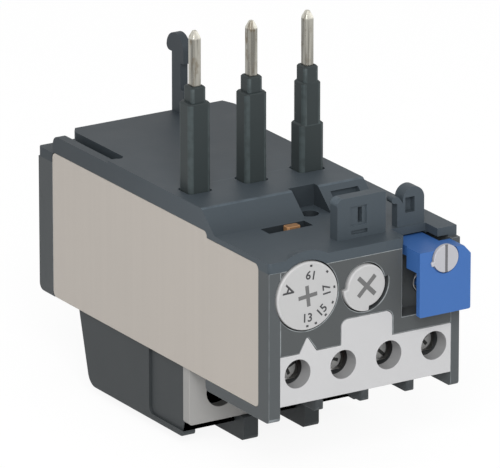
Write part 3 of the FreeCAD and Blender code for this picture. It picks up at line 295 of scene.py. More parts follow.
@dataclass(frozen=True)
class MouldedPlastic:
    """Injection-moulded plastic with a spark-eroded grain, and edges lightened by a painted highlight with
    some rubbing.

    The tints are factors on the colour: a painted highlight with some rubbing at the edges, painted shade
    in hollows, and painted light towards the front and painted shade towards the rear of a cover.
    """

    colour: Colour
    roughness: float = 0.55
    roughness_spread: float = 0.12
    grain: float = 0.28 * MM
    grain_depth: float = 0.012 * MM
    coarse_grain: float = 2.6
    mottle: float = 0.06
    cloud: float = 9.0 * MM
    flow: float = 3.5 * MM
    # The next two set the patches and the strength of the painted edge highlight, with some rubbing.
    rub_and_highlight: float = 1.6 * MM
    edge: float = 1.6
    # Factor of the painted shade on faces in hollows, slots and screw holes.
    sunk: float = 0.45
    gloss: float = 0.28
    # Factors of the painted light towards the front and the painted shade towards the rear, and where it
    # changes.
    lit_front: float = 0.0
    shaded_rear: float = 0.0
    lit_to_shaded_between: tuple[float, float] = (-30.0 * MM, 44.0 * MM)

    def build(self, name: str) -> bpy.types.Material:
        """Makes the material.

        Args:
            name: The material's name.

        Returns:
            The material.
        """
        graph = Surface(name)
        cloud = graph.noise(self.cloud, 3.0)
        flow = graph.noise(self.flow, 2.0, (1.0, 0.35, 1.0))
        body = graph.mix(cloud * 0.6 + flow * 0.4, scaled(self.colour, 1.0 - self.mottle),
                         scaled(self.colour, 1.0 + self.mottle))
        # Painted light and shade: lighter towards the front, darker towards the rear.
        if self.lit_front:
            lit_to_shaded = graph.height(1).between(*self.lit_to_shaded_between)
            body = graph.mix(lit_to_shaded, graph.mix(0.5, body, scaled(self.colour, self.lit_front)),
                             graph.mix(0.5, body, scaled(self.colour, self.shaded_rear)))
        # Painted highlight with some rubbing: the marked edge faces are lightened in patches.
        rub_and_highlight = graph.attribute("edge") * (graph.noise(self.rub_and_highlight, 2.0).between(0.25, 0.65) * 0.6 + 0.4)
        rubbed_and_highlit = graph.mix(rub_and_highlight, body, scaled(self.colour, self.edge))
        # Painted shade: the marked faces of hollows, slots and screw holes are darkened.
        graph.dress(Base_Color=graph.mix(graph.attribute("sunk"), rubbed_and_highlit, scaled(self.colour, self.sunk)),
                    Roughness=cloud * self.roughness_spread + (self.roughness - self.roughness_spread / 2),
                    Specular_IOR_Level=self.gloss)
        grain = graph.noise(self.grain, 2.0) + graph.noise(self.grain * self.coarse_grain, 1.0) * 0.6
        graph.bump(grain, self.grain_depth)
        return graph.material


@dataclass(frozen=True)
class WorkedMetal:
    """Drawn, pressed or turned metal with tool lines and some tarnish."""

    colour: Colour
    roughness: float = 0.32
    roughness_spread: float = 0.14
    lines: Triple = (1.0, 1.0, 0.12)
    line_width: float = 0.12 * MM
    line_depth: float = 0.006 * MM
    tarnish: Colour = (0.25, 0.2, 0.14)
    tarnish_share: float = 0.25
    tarnish_spot: float = 1.8 * MM
    # Factor of the painted shade on marked faces, such as screw slots.
    sunk: float = 0.12

    def build(self, name: str) -> bpy.types.Material:
        """Makes the material.

        Args:
            name: The material's name.

        Returns:
            The material.
        """
        graph = Surface(name)
        lines = graph.noise(self.line_width, 2.0, self.lines)
        spots = graph.noise(self.tarnish_spot, 4.0).between(0.5, 0.75)
        streaked = graph.mix(lines, scaled(self.colour, 0.82), scaled(self.colour, 1.08))
        aged = graph.mix(spots * self.tarnish_share, streaked, self.tarnish)
        # Painted shade: marked faces such as screw slots are darkened.
        graph.dress(Base_Color=graph.mix(graph.attribute("sunk"), aged, scaled(self.colour, self.sunk)),
                    Metallic=1.0, Roughness=spots * 0.25 + lines * self.roughness_spread
                    + (self.roughness - self.roughness_spread / 2))
        graph.bump(lines, self.line_depth)
        return graph.material


@dataclass(frozen=True)
class PlatedPin:
    """Silver-plated contact pin: a painted highlight at the tip, drawn lines along its length that are
    partly a painted reflection, stained in blotches.
    """

    colour: Colour
    stain: Colour
    stain_between: tuple[float, float] = (70.0 * MM, 84.0 * MM)
    # Heights of the painted highlight at the tip.
    tip_highlight_between: tuple[float, float] = (84.9 * MM, 85.2 * MM)
    line: float = 1.0 * MM
    blotch: float = 1.5 * MM

    def build(self, name: str) -> bpy.types.Material:
        """Makes the material.

        Args:
            name: The material's name.

        Returns:
            The material.
        """
        graph = Surface(name)
        lines = graph.noise(self.line, 2.0, (1.0, 1.0, 0.04))
        blotch = graph.noise(self.blotch, 3.0, (1.0, 1.0, 0.45)).between(0.52, 0.66)
        upper = graph.height(2).between(*self.stain_between)
        # Drawn lines, partly a painted reflection: dark and light streaks along the pin.
        streaked = graph.mix(lines.between(0.38, 0.6), scaled(self.colour, 0.62), scaled(self.colour, 1.3))
        # Painted highlight: the very tip is lightened.
        tip_highlit = graph.mix(graph.height(2).between(*self.tip_highlight_between) * 0.75, streaked,
                           scaled(self.colour, 2.1))
        graph.dress(Base_Color=graph.mix(blotch * (upper * 0.5 + 0.12), tip_highlit, self.stain), Metallic=0.92,
                    Roughness=lines * 0.16 + blotch * 0.15 + 0.2)
        graph.bump(lines, 0.008 * MM)
        return graph.material


@dataclass(frozen=True)
class LabelFilm:
    """Satin label film: even, with faint upright streaks from its coating."""

    colour: Colour
    streak: float = 1.3 * MM
    cloud: float = 30.0 * MM

    def build(self, name: str) -> bpy.types.Material:
        """Makes the material.

        Args:
            name: The material's name.

        Returns:
            The material.
        """
        graph = Surface(name)
        streaks = graph.noise(self.streak, 2.0, (1.0, 1.0, 0.02))
        broad = graph.noise(self.cloud, 1.0)
        tone = graph.mix(streaks * 0.5 + broad * 0.5, scaled(self.colour, 0.94), scaled(self.colour, 1.05))
        graph.dress(Base_Color=tone, Roughness=broad * 0.1 + 0.4, Specular_IOR_Level=0.4)
        graph.bump(graph.noise(0.2 * MM, 1.0), 0.003 * MM)
        return graph.material


@dataclass(frozen=True)
class StudioPaper:
    """White paper of the studio floor, which shows nearly white and keeps a faint shadow."""

    colour: Colour
    whiteness: float = 0.86
    strength: float = 1.05

    def build(self, name: str) -> bpy.types.Material:
        """Makes the material.

        Args:
            name: The material's name.

        Returns:
            The material.
        """
        graph = Surface(name)
        fibre = graph.noise(2.0 * MM, 3.0)
        graph.dress(Base_Color=graph.mix(fibre, scaled(self.colour, 0.99), self.colour), Roughness=0.9,
                    Specular_IOR_Level=0.0)
        graph.glow(graph.seen() * self.whiteness, self.strength)
        return graph.material


class Finish(Enum):
    """The finishes of the relay's pieces and of the studio floor, by the material's name."""

    HOUSING = "housing_plastic"
    COVER = "cover_plastic"
    PANEL = "panel_plastic"
    INNER = "inner_plastic"
    LIGHT = "light_plastic"
    FACE = "face_plastic"
    DIAL = "dial_plastic"
    LABEL = "label_film"
    RESET = "reset_blue"
    SELECTOR = "selector_white"
    FLAG = "flag_orange"
    PIN = "pin_metal"
    SCREW = "screw_steel"
    CLAMP = "clamp_steel"
    COPPER = "copper_bar"
    BIMETAL = "bimetal"
    SLEEVING = "heater_sleeve"
    SPRING = "spring_steel"
    INK = "dial_ink"
    TERMINAL = "terminal_plastic"
    SLEEVE = "sleeve_plastic"
    PAPER = "studio_paper"


Recipe = MouldedPlastic | WorkedMetal | PlatedPin | LabelFilm | StudioPaper

# The edge tints are painted highlights with some rubbing, the tints of hollows are painted shade, and the
# housing's and cover's front and rear tints are painted light and shade.
RECIPES: dict[Finish, Recipe] = {
    Finish.HOUSING: MouldedPlastic(paint(75, 79, 81), edge=3.6, lit_front=1.12, shaded_rear=0.7),
    Finish.COVER: MouldedPlastic(paint(60, 68, 74), edge=2.2, lit_front=1.4, shaded_rear=0.45),
    Finish.TERMINAL: MouldedPlastic(paint(55, 59, 61)),
    Finish.SLEEVE: MouldedPlastic(paint(46, 53, 54), edge=2.3),
    Finish.PANEL: MouldedPlastic(paint(75, 78, 79), edge=4.2),
    Finish.INNER: MouldedPlastic(paint(168, 166, 160), edge=1.1),
    Finish.LIGHT: MouldedPlastic(paint(189, 189, 190), mottle=0.03, edge=1.05),
    Finish.FACE: MouldedPlastic(paint(158, 157, 155), mottle=0.03, edge=1.1),
    Finish.DIAL: MouldedPlastic(paint(180, 180, 180), mottle=0.03, edge=1.12, sunk=0.3),
    Finish.RESET: MouldedPlastic(paint(58, 101, 164), mottle=0.04, edge=1.5, roughness=0.45),
    Finish.SELECTOR: MouldedPlastic(paint(174, 174, 179), mottle=0.03, edge=1.12, sunk=0.3),
    Finish.FLAG: MouldedPlastic(paint(142, 106, 72), mottle=0.12),
    Finish.INK: MouldedPlastic(paint(62, 62, 64), mottle=0.12, grain_depth=0.004 * MM),
    Finish.SLEEVING: MouldedPlastic(paint(212, 206, 190), grain=0.5 * MM),
    Finish.LABEL: LabelFilm(paint(184, 177, 169)),
    Finish.PIN: PlatedPin(paint(150, 148, 140), paint(96, 80, 54)),
    Finish.SCREW: WorkedMetal(paint(196, 196, 194), lines=(0.12, 1.0, 1.0)),
    Finish.CLAMP: WorkedMetal(paint(178, 176, 172), roughness=0.38),
    Finish.COPPER: WorkedMetal(paint(200, 128, 92)),
    Finish.BIMETAL: WorkedMetal(paint(186, 180, 170)),
    Finish.SPRING: WorkedMetal(paint(160, 160, 160), tarnish_share=0.1),
    Finish.PAPER: StudioPaper((0.95, 0.95, 0.95)),
}


class Workshop:
    """Builds each finish once and hands it out."""

    def __init__(self) -> None:
        """Starts with no finish built."""
        self.made: dict[Finish, bpy.types.Material] = {}

    def material(self, finish: Finish) -> bpy.types.Material:
        """Gives the material of a finish.

        Args:
            finish: The finish.

        Returns:
            Its material, built the first time it is asked for.
        """
        if finish not in self.made:
            self.made[finish] = RECIPES[finish].build(finish.value)
        return self.made[finish]

    def piece(self, name: str, shape: bmesh.types.BMesh, body: str, finish: Finish, *nodes: str,
              slot: str | None = "") -> bpy.types.Object:
        """Turns a finished shape into a piece that rides on a body.

        Args:
            name: The piece's name.
            shape: Its mesh, in place; it is freed.
            body: The body that it moves with.
            finish: Its finish.
            nodes: The frame's nodes that it stands for.
            slot: The material slot, if it isn't the finish's own, or None for a piece without one; it is not
                used.

        Returns:
            The piece's object.
        """
        mesh = bpy.data.meshes.new(name)
        shape.to_mesh(mesh)
        shape.free()
        mesh.materials.append(self.material(finish))
        thing = bpy.data.objects.new(name, mesh)
        bpy.context.scene.collection.objects.link(thing)
        shading = thing.modifiers.new("even_shading", "WEIGHTED_NORMAL")
        shading.keep_sharp = True
        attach(thing, body)
        if nodes:
            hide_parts(*nodes)
        log.info("%s: %d faces on %s", name, len(mesh.polygons), body)
        return thing


def finish_of(material: bpy.types.Material) -> Finish:
    """Gives the finish that a packed material's name stands for."""
    return Finish(material.name.split(".")[0])


def copy_of(node: str) -> bmesh.types.BMesh:
    """Takes a node's mesh over with its loose triangles merged into whole faces.

    Args:
        node: The frame's node.

    Returns:
        A closed mesh of flat faces.
    """
    shape = bmesh.new()
    shape.from_mesh(frame["nodes"][node].data)
    bmesh.ops.remove_doubles(shape, verts=shape.verts, dist=WELD)
    bmesh.ops.dissolve_limit(shape, angle_limit=LEVEL_BEND, verts=shape.verts, edges=shape.edges)
    return shape


def room_beside(edge: bmesh.types.BMEdge) -> float:
    """Gives the shortest neighbour that crosses an edge at its ends.

    Args:
        edge: The edge that is to be rounded.

    Returns:
        Length of the shortest edge that crosses it, or infinity.
    """
    along = (edge.verts[1].co - edge.verts[0].co).normalized()
    room = math.inf
    for end in edge.verts:
        for other in end.link_edges:
            if other is edge:
                continue
            way = (other.other_vert(end).co - end.co).normalized()
            if abs(way.dot(along)) < math.cos(CROSSING):
                room = min(room, other.calc_length())
    return room


def mark_rounds(shape: bmesh.types.BMesh, layer: bmesh.types.BMLayerItem, width: float = 0.36 * MM,
                length: float = 2.5 * MM, rub_and_highlight_share: float = 0.7) -> None:
    """Marks the narrow strips of the mouldings' own rounded edges for a painted highlight with some rubbing.

    Args:
        shape: The mesh.
        layer: The faces' layer of painted edge highlight and rubbing.
        width: Widest strip that counts.
        length: Shortest strip that counts.
        rub_and_highlight_share: How much painted highlight and rubbing they get, 0 to 1.
    """
    for face in shape.faces:
        longest = max(edge.calc_length() for edge in face.edges)
        bends = [edge for edge in face.edges
                 if edge.is_manifold and edge.calc_face_angle(0.0) > MOULDED_BEND]
        if longest > length and face.calc_area() / longest < width and len(bends) > 1:
            # The strip gets a painted highlight with some rubbing.
            face[layer] = rub_and_highlight_share


def round_edges(shape: bmesh.types.BMesh, radius: float, steps: int = 2, room: float = 2.3) -> None:
    """Rounds the outer edges that have room for it and marks the faces so made for a painted highlight with
    some rubbing.

    Args:
        shape: The mesh.
        radius: Width of the rounding.
        steps: Segments of the rounding.
        room: Shortest neighbour that an edge may have, in radii.
    """
    sharp = [edge for edge in shape.edges
             if edge.is_manifold and edge.is_convex and edge.calc_face_angle(0.0) > SHARP_BEND]
    wide = [edge for edge in sharp if room_beside(edge) > room * radius]
    layer = shape.faces.layers.float.new("edge")
    mark_rounds(shape, layer)
    if wide:
        made = bmesh.ops.bevel(shape, geom=wide, offset=radius, offset_type="OFFSET", affect="EDGES",
                               segments=steps, profile=0.5, material=-1, clamp_overlap=True)
        # The rounded faces get the full painted highlight with some rubbing.
        for face in made["faces"]:
            face[layer] = 1.0
    for face in shape.faces:
        face.smooth = True
    for edge in shape.edges:
        edge.smooth = edge.calc_face_angle(0.0) < SHADED_BEND
    log.info("rounded %d of %d edges", len(wide), len(sharp))


@dataclass
class Moulding:
    """A moulded or pressed piece with the form of its node and rounded edges.

    Its screw holes lie over the cells, level with the screws. Each hollow is the low and the high
    corner of a box, and the shade of the faces in it, 0 to 1.
    """

    node: str
    finish: Finish
    body: str = "housing"
    radius: float = 0.25 * MM
    cells: tuple[str, ...] = ()
    screws: str = ""
    # Reach, tilt limit and amount of the painted shade on the walls of the screw holes.
    bore_reach: float = 3.6 * MM
    bore_tilt: float = 0.3
    bore_shade: float = 0.7
    hollows: tuple[Hollow, ...] = ()

    def build(self, shop: Workshop) -> None:
        """Makes the piece.

        Args:
            shop: Where the finishes come from.
        """
        shape = copy_of(self.node)
        self._shade(shape)
        round_edges(shape, self.radius)
        slot = finish_of(frame["nodes"][self.node].data.materials[0]).value
        shop.piece(f"{self.node}_dressed", shape, self.body, self.finish, self.node, slot=slot)

    def _shade(self, shape: bmesh.types.BMesh) -> None:
        """Marks the walls of the screw holes and the hollows for painted shade.

        Args:
            shape: The piece's mesh.
        """
        # Layer of painted shade on the faces.
        layer = shape.faces.layers.float.new("sunk")
        holes = []
        for cell in self.cells:
            low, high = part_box(cell)
            level = sum(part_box(self.screws)[side].z for side in (0, 1)) / 2
            holes.append(((low.x + high.x) / 2, level))
        for face in shape.faces:
            middle = face.calc_center_median()
            for across, level in holes:
                away = math.hypot(middle.x - across, middle.z - level)
                if away < self.bore_reach and abs(face.normal.y) < self.bore_tilt:
                    face[layer] = self.bore_shade
            for low, high, shade in self.hollows:
                if all(low[axis] < middle[axis] < high[axis] for axis in range(3)):
                    face[layer] = shade


@dataclass
class Housing:
    """Lower housing, cover, front panel and label."""

    edge: float = 0.3 * MM
    # Boxes of the cover whose faces get painted shade, with its amount: the channel, the blind hole at its
    # foot and the flag's slot.
    channel: Hollow = ((-1.6 * MM, -30.0 * MM, 49.0 * MM), (5.4 * MM, -15.3 * MM, 53.6 * MM), 0.7)
    hole: Hollow = ((-0.9 * MM, -21.8 * MM, 45.0 * MM), (3.5 * MM, -17.4 * MM, 48.79 * MM), 1.0)
    flag_slot: Hollow = ((-12.5 * MM, -26.4 * MM, 45.0 * MM), (-1.8 * MM, -22.6 * MM, 48.79 * MM), 1.0)

    def build(self, shop: Workshop) -> None:
        """Makes the housing's pieces.

        Args:
            shop: Where the finishes come from.
        """
        Moulding("base_housing", Finish.HOUSING, radius=self.edge).build(shop)
        Moulding("top_cover", Finish.COVER, radius=self.edge,
                 hollows=(self.channel, self.hole, self.flag_slot)).build(shop)
        Moulding("front_panel", Finish.PANEL, radius=0.2 * MM).build(shop)
        Moulding("side_label", Finish.LABEL, radius=0.06 * MM).build(shop)
        Moulding("trip_flag", Finish.FLAG, body="trip_flag", radius=0.12 * MM).build(shop)


@dataclass
class Terminals:
    """Terminal block, its light face, the auxiliary block and its marking plate."""

    edge: float = 0.25 * MM
    face_edge: float = 0.15 * MM
    mains: tuple[str, ...] = tuple(f"main_clamp_{cell}" for cell in range(1, 4))
    auxiliaries: tuple[str, ...] = tuple(f"aux_clamp_{cell}" for cell in range(1, 5))

    def build(self, shop: Workshop) -> None:
        """Makes the terminals' pieces.

        Args:
            shop: Where the finishes come from.
        """
        for node in ("terminal_block", "aux_terminal_block"):
            Moulding(node, Finish.TERMINAL, radius=self.edge).build(shop)
        # The cells place the screw holes whose walls get painted shade.
        Moulding("terminal_face", Finish.FACE, radius=self.face_edge, cells=self.mains,
                 screws="main_terminal_screws").build(shop)
        Moulding("marking_plate", Finish.LIGHT, radius=self.face_edge, cells=self.auxiliaries,
                 screws="aux_terminal_screws").build(shop)
        Screws("aux_terminal_screws", self.auxiliaries, head_height=1.7 * MM, shank_radius=1.5 * MM,
               slot_width=0.7 * MM).build(shop)
        Screws("main_terminal_screws", self.mains, head_height=2.0 * MM, shank_radius=1.9 * MM,
               slot_width=0.8 * MM).build(shop)
        for number, clamp in enumerate(self.auxiliaries, 1):
            Moulding(clamp, Finish.CLAMP, radius=0.15 * MM).build(shop)
            Moulding(f"aux_contact_bar_{number}", Finish.COPPER, radius=0.1 * MM).build(shop)
        for number, clamp in enumerate(self.mains, 1):
            Moulding(clamp, Finish.CLAMP, radius=0.2 * MM).build(shop)
            Moulding(f"load_bar_{number}", Finish.COPPER, radius=0.12 * MM).build(shop)


def pivot(joint: str) -> Vector:
    """Gives the point that a joint turns about.

    Args:
        joint: The joint's name.

    Returns:
        The point, in metres.
    """
    return Vector(next(entry["pos_m"] for entry in frame["joints"] if entry["name"] == joint))


def facing(centre: Vector, turn: float = 0.0) -> Matrix:
    """Gives the place of a shape drawn flat, with its third axis towards the front.

    Args:
        centre: Where its origin goes.
        turn: Turn about the third axis, counter-clockwise as seen from the front.

    Returns:
        The matrix that puts it there.
    """
    return Matrix.Translation(centre) @ Matrix.Rotation(QUARTER, 4, "X") @ Matrix.Rotation(turn, 4, "Z")


def rod(shape: bmesh.types.BMesh, radius: float, low: float, high: float, segments: int) -> None:
    """Adds a round rod along the third axis.

    Args:
        shape: The mesh it is added to.
        radius: Its radius.
        low: Its lower end.
        high: Its upper end.
        segments: Sides of the rod.
    """
    middle = Matrix.Translation((0.0, 0.0, (low + high) / 2))
    bmesh.ops.create_cone(shape, cap_ends=True, cap_tris=False, segments=segments, radius1=radius,
                          radius2=radius, depth=high - low, matrix=middle)


def disc(radius: float, thickness: float, bevel: float, segments: int,
         lug: Triple | None = None) -> bmesh.types.BMesh:
    """Makes a flat disc under the origin with its front rim rounded.

    Args:
        radius: Its radius.
        thickness: Its thickness.
        bevel: Width of the rounding.
        segments: Sides of the disc.
        lug: Radius, first angle and sweep, in degrees, of a stretch that stands out.

    Returns:
        The disc, flat shaded apart from its rim.
    """
    shape = bmesh.new()
    rod(shape, radius, -thickness, 0.0, segments)
    if lug:
        wide = [corner for corner in shape.verts
                if (math.degrees(math.atan2(corner.co.y, corner.co.x)) - lug[1]) % 360.0 <= lug[2]]
        bmesh.ops.scale(shape, vec=(lug[0] / radius, lug[0] / radius, 1.0), verts=wide)
    # A new layer drops older references to the faces, so it comes before any are gathered.
    layer = shape.faces.layers.float.new("edge")
    rim = [edge for edge in shape.edges if all(abs(corner.co.z) < WELD for corner in edge.verts)]
    made = bmesh.ops.bevel(shape, geom=rim, offset=bevel, offset_type="OFFSET", affect="EDGES", segments=4,
                           profile=0.5, material=-1, clamp_overlap=True)
    # The rounded rim gets a painted highlight with some rubbing.
    for face in made["faces"]:
        face[layer] = 1.0
    for face in shape.faces:
        face.smooth = abs(face.normal.z) < FLAT
    return shape


def sink(shape: bmesh.types.BMesh, bars: tuple[tuple[float, float], ...], depth: float) -> None:
    """Sinks crossing bars into a flat top that goes through the origin.

    Args:
        shape: The mesh, with its top square to the third axis.
        bars: Half length along the first and the second axis of each bar.
        depth: How deep they go.
    """
    layer = shape.faces.layers.float.get("sunk") or shape.faces.layers.float.new("sunk")

    def top() -> list[bmesh.types.BMFace]:
        """Gives the faces of the top."""
        shape.normal_update()
        return [face for face in shape.faces
                if face.normal.z > FLAT and abs(face.calc_center_median().z) < WELD]

    def over_bar(face: bmesh.types.BMFace, margin: float) -> bool:
        """Tells whether a face's middle lies over a bar that is grown by a margin."""
        middle = face.calc_center_median()
        return any(abs(middle.x) < bar[0] + margin and abs(middle.y) < bar[1] + margin for bar in bars)

    for bar in bars:
        for axis, half in ((Vector((1.0, 0.0, 0.0)), bar[0]), (Vector((0.0, 1.0, 0.0)), bar[1])):
            for side in (-half, half):
                faces = top()
                edges = list(dict.fromkeys(edge for face in faces for edge in face.edges))
                corners = list(dict.fromkeys(corner for face in faces for corner in face.verts))
                bmesh.ops.bisect_plane(shape, geom=faces + edges + corners, plane_co=axis * side,
                                       plane_no=axis, dist=WELD)
    made = bmesh.ops.extrude_face_region(shape, geom=[face for face in top() if over_bar(face, 0.0)])
    floor = [part for part in made["geom"] if isinstance(part, bmesh.types.BMVert)]
    bmesh.ops.translate(shape, verts=floor, vec=(0.0, 0.0, -depth))
    shape.normal_update()
    # The slot's faces get painted shade and flat shading.
    for face in shape.faces:
        if over_bar(face, WELD) and face.calc_center_median().z > -depth - WELD:
            face[layer] = 1.0
            face.smooth = False


def cross(length: float, width: float) -> tuple[tuple[float, float], ...]:
    """Gives the two bars of a cross slot."""
    return ((length / 2, width / 2), (width / 2, length / 2))


def block(size: Triple) -> bmesh.types.BMesh:
    """Makes a block round the origin.

    Args:
        size: Its size along each axis.

    Returns:
        The block.
    """
    shape = bmesh.new()
    bmesh.ops.create_cube(shape, size=1.0)
    bmesh.ops.scale(shape, vec=size, verts=shape.verts)
    return shape


def lettering(words: str, height: float, proud: float, bold: float) -> bmesh.types.BMesh:
    """Makes thin raised letters, centred on the origin and read from the third axis.

    Args:
        words: The letters.
        height: Size of the letters' body.
        proud: How far they stand out to each side.
        bold: How much each stroke is widened to each side.

    Returns:
        The letters' mesh.
    """
    curve = bpy.data.curves.new("letters", "FONT")
    curve.body = words
    curve.size = height
    curve.align_x = "CENTER"
    curve.align_y = "CENTER"
    curve.extrude = proud
    curve.offset = bold
    curve.resolution_u = 3
    thing = bpy.data.objects.new("letters", curve)
    bpy.context.scene.collection.objects.link(thing)
    bpy.context.view_layer.update()
    mesh = bpy.data.meshes.new_from_object(thing.evaluated_get(bpy.context.evaluated_depsgraph_get()))
    shape = bmesh.new()
    shape.from_mesh(mesh)
    bpy.data.objects.remove(thing)
    bpy.data.curves.remove(curve)
    bpy.data.meshes.remove(mesh)
    return shape


def gather(shapes: list[bmesh.types.BMesh]) -> bmesh.types.BMesh:
    """Puts several meshes into one and frees them.

    Args:
        shapes: The meshes.

    Returns:
        The one mesh.
    """
    whole = bmesh.new()
    for shape in shapes:
        mesh = bpy.data.meshes.new("part_of_whole")
        shape.to_mesh(mesh)
        shape.free()
        whole.from_mesh(mesh)
        bpy.data.meshes.remove(mesh)
    return whole


@dataclass
class Dial:
    """Setting dial with its cross slot, numbers and marks.

    Each number has its angle in degrees, its distance from the middle and its size as a share of
    the letter height. The ticks are angles in degrees.
    """

    slot_length: float = 4.4 * MM
    slot_width: float = 0.85 * MM
    slot_depth: float = 0.45 * MM
    slot_turn: float = 6.0
    thickness: float = 2.0 * MM
    shaft_radius: float = 2.2 * MM
    shaft_sides: int = 48
    bevel: float = 0.35 * MM
    sides: int = 120
    ink: float = 0.012 * MM
    stroke: float = 0.05 * MM
    letter_height: float = 2.5 * MM
    tick_radius: float = 6.25 * MM
    tick_length: float = 0.45 * MM
    tick_width: float = 0.55 * MM
    numbers: tuple[tuple[str, float, float, float], ...] = (
        ("13", -91.5, 4.6 * MM, 1.0), ("15", -47.5, 4.84 * MM, 1.0), ("17", 6.0, 4.5 * MM, 1.0),
        ("19", 80.0, 4.4 * MM, 1.0), ("A", 157.5, 4.85 * MM, 1.35))
    ticks: tuple[float, ...] = (-91.0, -72.6, -48.0, -21.7, 7.8, 44.0, 83.0)

    def build(self, shop: Workshop) -> None:
        """Makes the dial and its marks.

        Args:
            shop: Where the finishes come from.
        """
        low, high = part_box("current_dial")
        centre = pivot("dial_turn")
        centre.y = low.y
        radius = (high.x - low.x) / 2
        shape = disc(radius, self.thickness, self.bevel, self.sides)
        sink(shape, cross(self.slot_length, self.slot_width), self.slot_depth)
        rod(shape, self.shaft_radius, low.y - high.y, -self.thickness - APART, self.shaft_sides)
        bmesh.ops.transform(shape, matrix=facing(centre, math.radians(self.slot_turn)), verts=shape.verts)
        shop.piece("current_dial_dressed", shape, "current_dial", Finish.DIAL, "current_dial")
        self._marks(shop, centre)

    def _marks(self, shop: Workshop, centre: Vector) -> None:
        """Prints the numbers and the marks on the dial.

        Args:
            shop: Where the finishes come from.
            centre: Middle of the dial's face.
        """
        shapes = []
        for words, angle, distance, size in self.numbers:
            turn = math.radians(angle)
            shape = lettering(words, self.letter_height * size, self.ink, self.stroke)
            place = Matrix.Translation((distance * math.cos(turn), distance * math.sin(turn), 0.0))
            upright = Matrix.Rotation(turn + math.pi / 2, 4, "Z")
            bmesh.ops.transform(shape, matrix=facing(centre) @ place @ upright, verts=shape.verts)
            shapes.append(shape)
        for angle in self.ticks:
            turn = math.radians(angle)
            shape = block((self.tick_length, self.tick_width, self.ink * 2))
            place = Matrix.Rotation(turn, 4, "Z") @ Matrix.Translation((self.tick_radius, 0.0, 0.0))
            bmesh.ops.transform(shape, matrix=facing(centre) @ place, verts=shape.verts)
            shapes.append(shape)
        shop.piece("dial_marks", gather(shapes), "current_dial", Finish.INK, slot=None)


@dataclass
class Knob:
    """Test and stop knob with its stop lug and cross slot."""

    radius: float = 4.4 * MM
    lug_radius: float = 5.3 * MM
    lug_start: float = 182.0
    lug_sweep: float = 96.0
    thickness: float = 2.2 * MM
    slot_length: float = 5.6 * MM
    slot_width: float = 0.95 * MM
    slot_depth: float = 0.45 * MM
    slot_turn: float = 45.0
    bevel: float = 0.3 * MM
    sides: int = 120

    def build(self, shop: Workshop) -> None:
        """Makes the knob's disc over the node's own shaft and finger.

        Args:
            shop: Where the finishes come from.
        """
        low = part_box("test_knob")[0]
        centre = pivot("knob_turn")
        centre.y = low.y
        shape = disc(self.radius, self.thickness, self.bevel, self.sides,
                     (self.lug_radius, self.lug_start - self.slot_turn, self.lug_sweep))
        sink(shape, cross(self.slot_length, self.slot_width), self.slot_depth)
        bmesh.ops.transform(shape, matrix=facing(centre, math.radians(self.slot_turn)), verts=shape.verts)
        inner = copy_of("test_knob")
        bmesh.ops.bisect_plane(inner, geom=inner.verts[:] + inner.edges[:] + inner.faces[:],
                               plane_co=(0.0, centre.y + self.thickness + APART, 0.0),
                               plane_no=(0.0, 1.0, 0.0), clear_inner=True)
        bmesh.ops.holes_fill(inner, edges=[edge for edge in inner.edges if edge.is_boundary])
        shop.piece("test_knob_dressed", gather([shape, inner]), "test_knob", Finish.DIAL, "test_knob")


@dataclass
class Selector:
    """Slotted selector in the reset button."""

    radius: float = 2.9 * MM
    thickness: float = 0.8 * MM
    stem_radius: float = 1.25 * MM
    slot_width: float = 0.62 * MM
    slot_depth: float = 0.3 * MM
    nub_reach: float = 0.6 * MM
    nub_width: float = 1.0 * MM
    nub_edge: float = 0.24 * MM
    nub_turn: float = 194.0
    bevel: float = 0.16 * MM
    sides: int = 96
    stem_sides: int = 32

    def build(self, shop: Workshop) -> None:
        """Makes the selector.

        Args:
            shop: Where the finishes come from.
        """
        low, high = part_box("reset_selector")
        centre = pivot("selector_turn")
        centre.y = low.y
        shape = disc(self.radius, self.thickness, self.bevel, self.sides)
        sink(shape, ((self.slot_width / 2, self.radius + WELD),), self.slot_depth)
        rod(shape, self.stem_radius, low.y - high.y, -self.thickness - APART, self.stem_sides)
        nub = block((self.nub_reach * 2, self.nub_width, self.thickness))
        bmesh.ops.translate(nub, vec=(self.radius, 0.0, -self.thickness / 2 - APART * 2), verts=nub.verts)
        round_edges(nub, self.nub_edge, 3)
        bmesh.ops.rotate(nub, cent=(0.0, 0.0, 0.0), verts=nub.verts,
                         matrix=Matrix.Rotation(math.radians(self.nub_turn), 3, "Z"))
        whole = gather([shape, nub])
        bmesh.ops.transform(whole, matrix=facing(centre), verts=whole.verts)
        shop.piece("reset_selector_dressed", whole, "reset_selector", Finish.SELECTOR, "reset_selector")


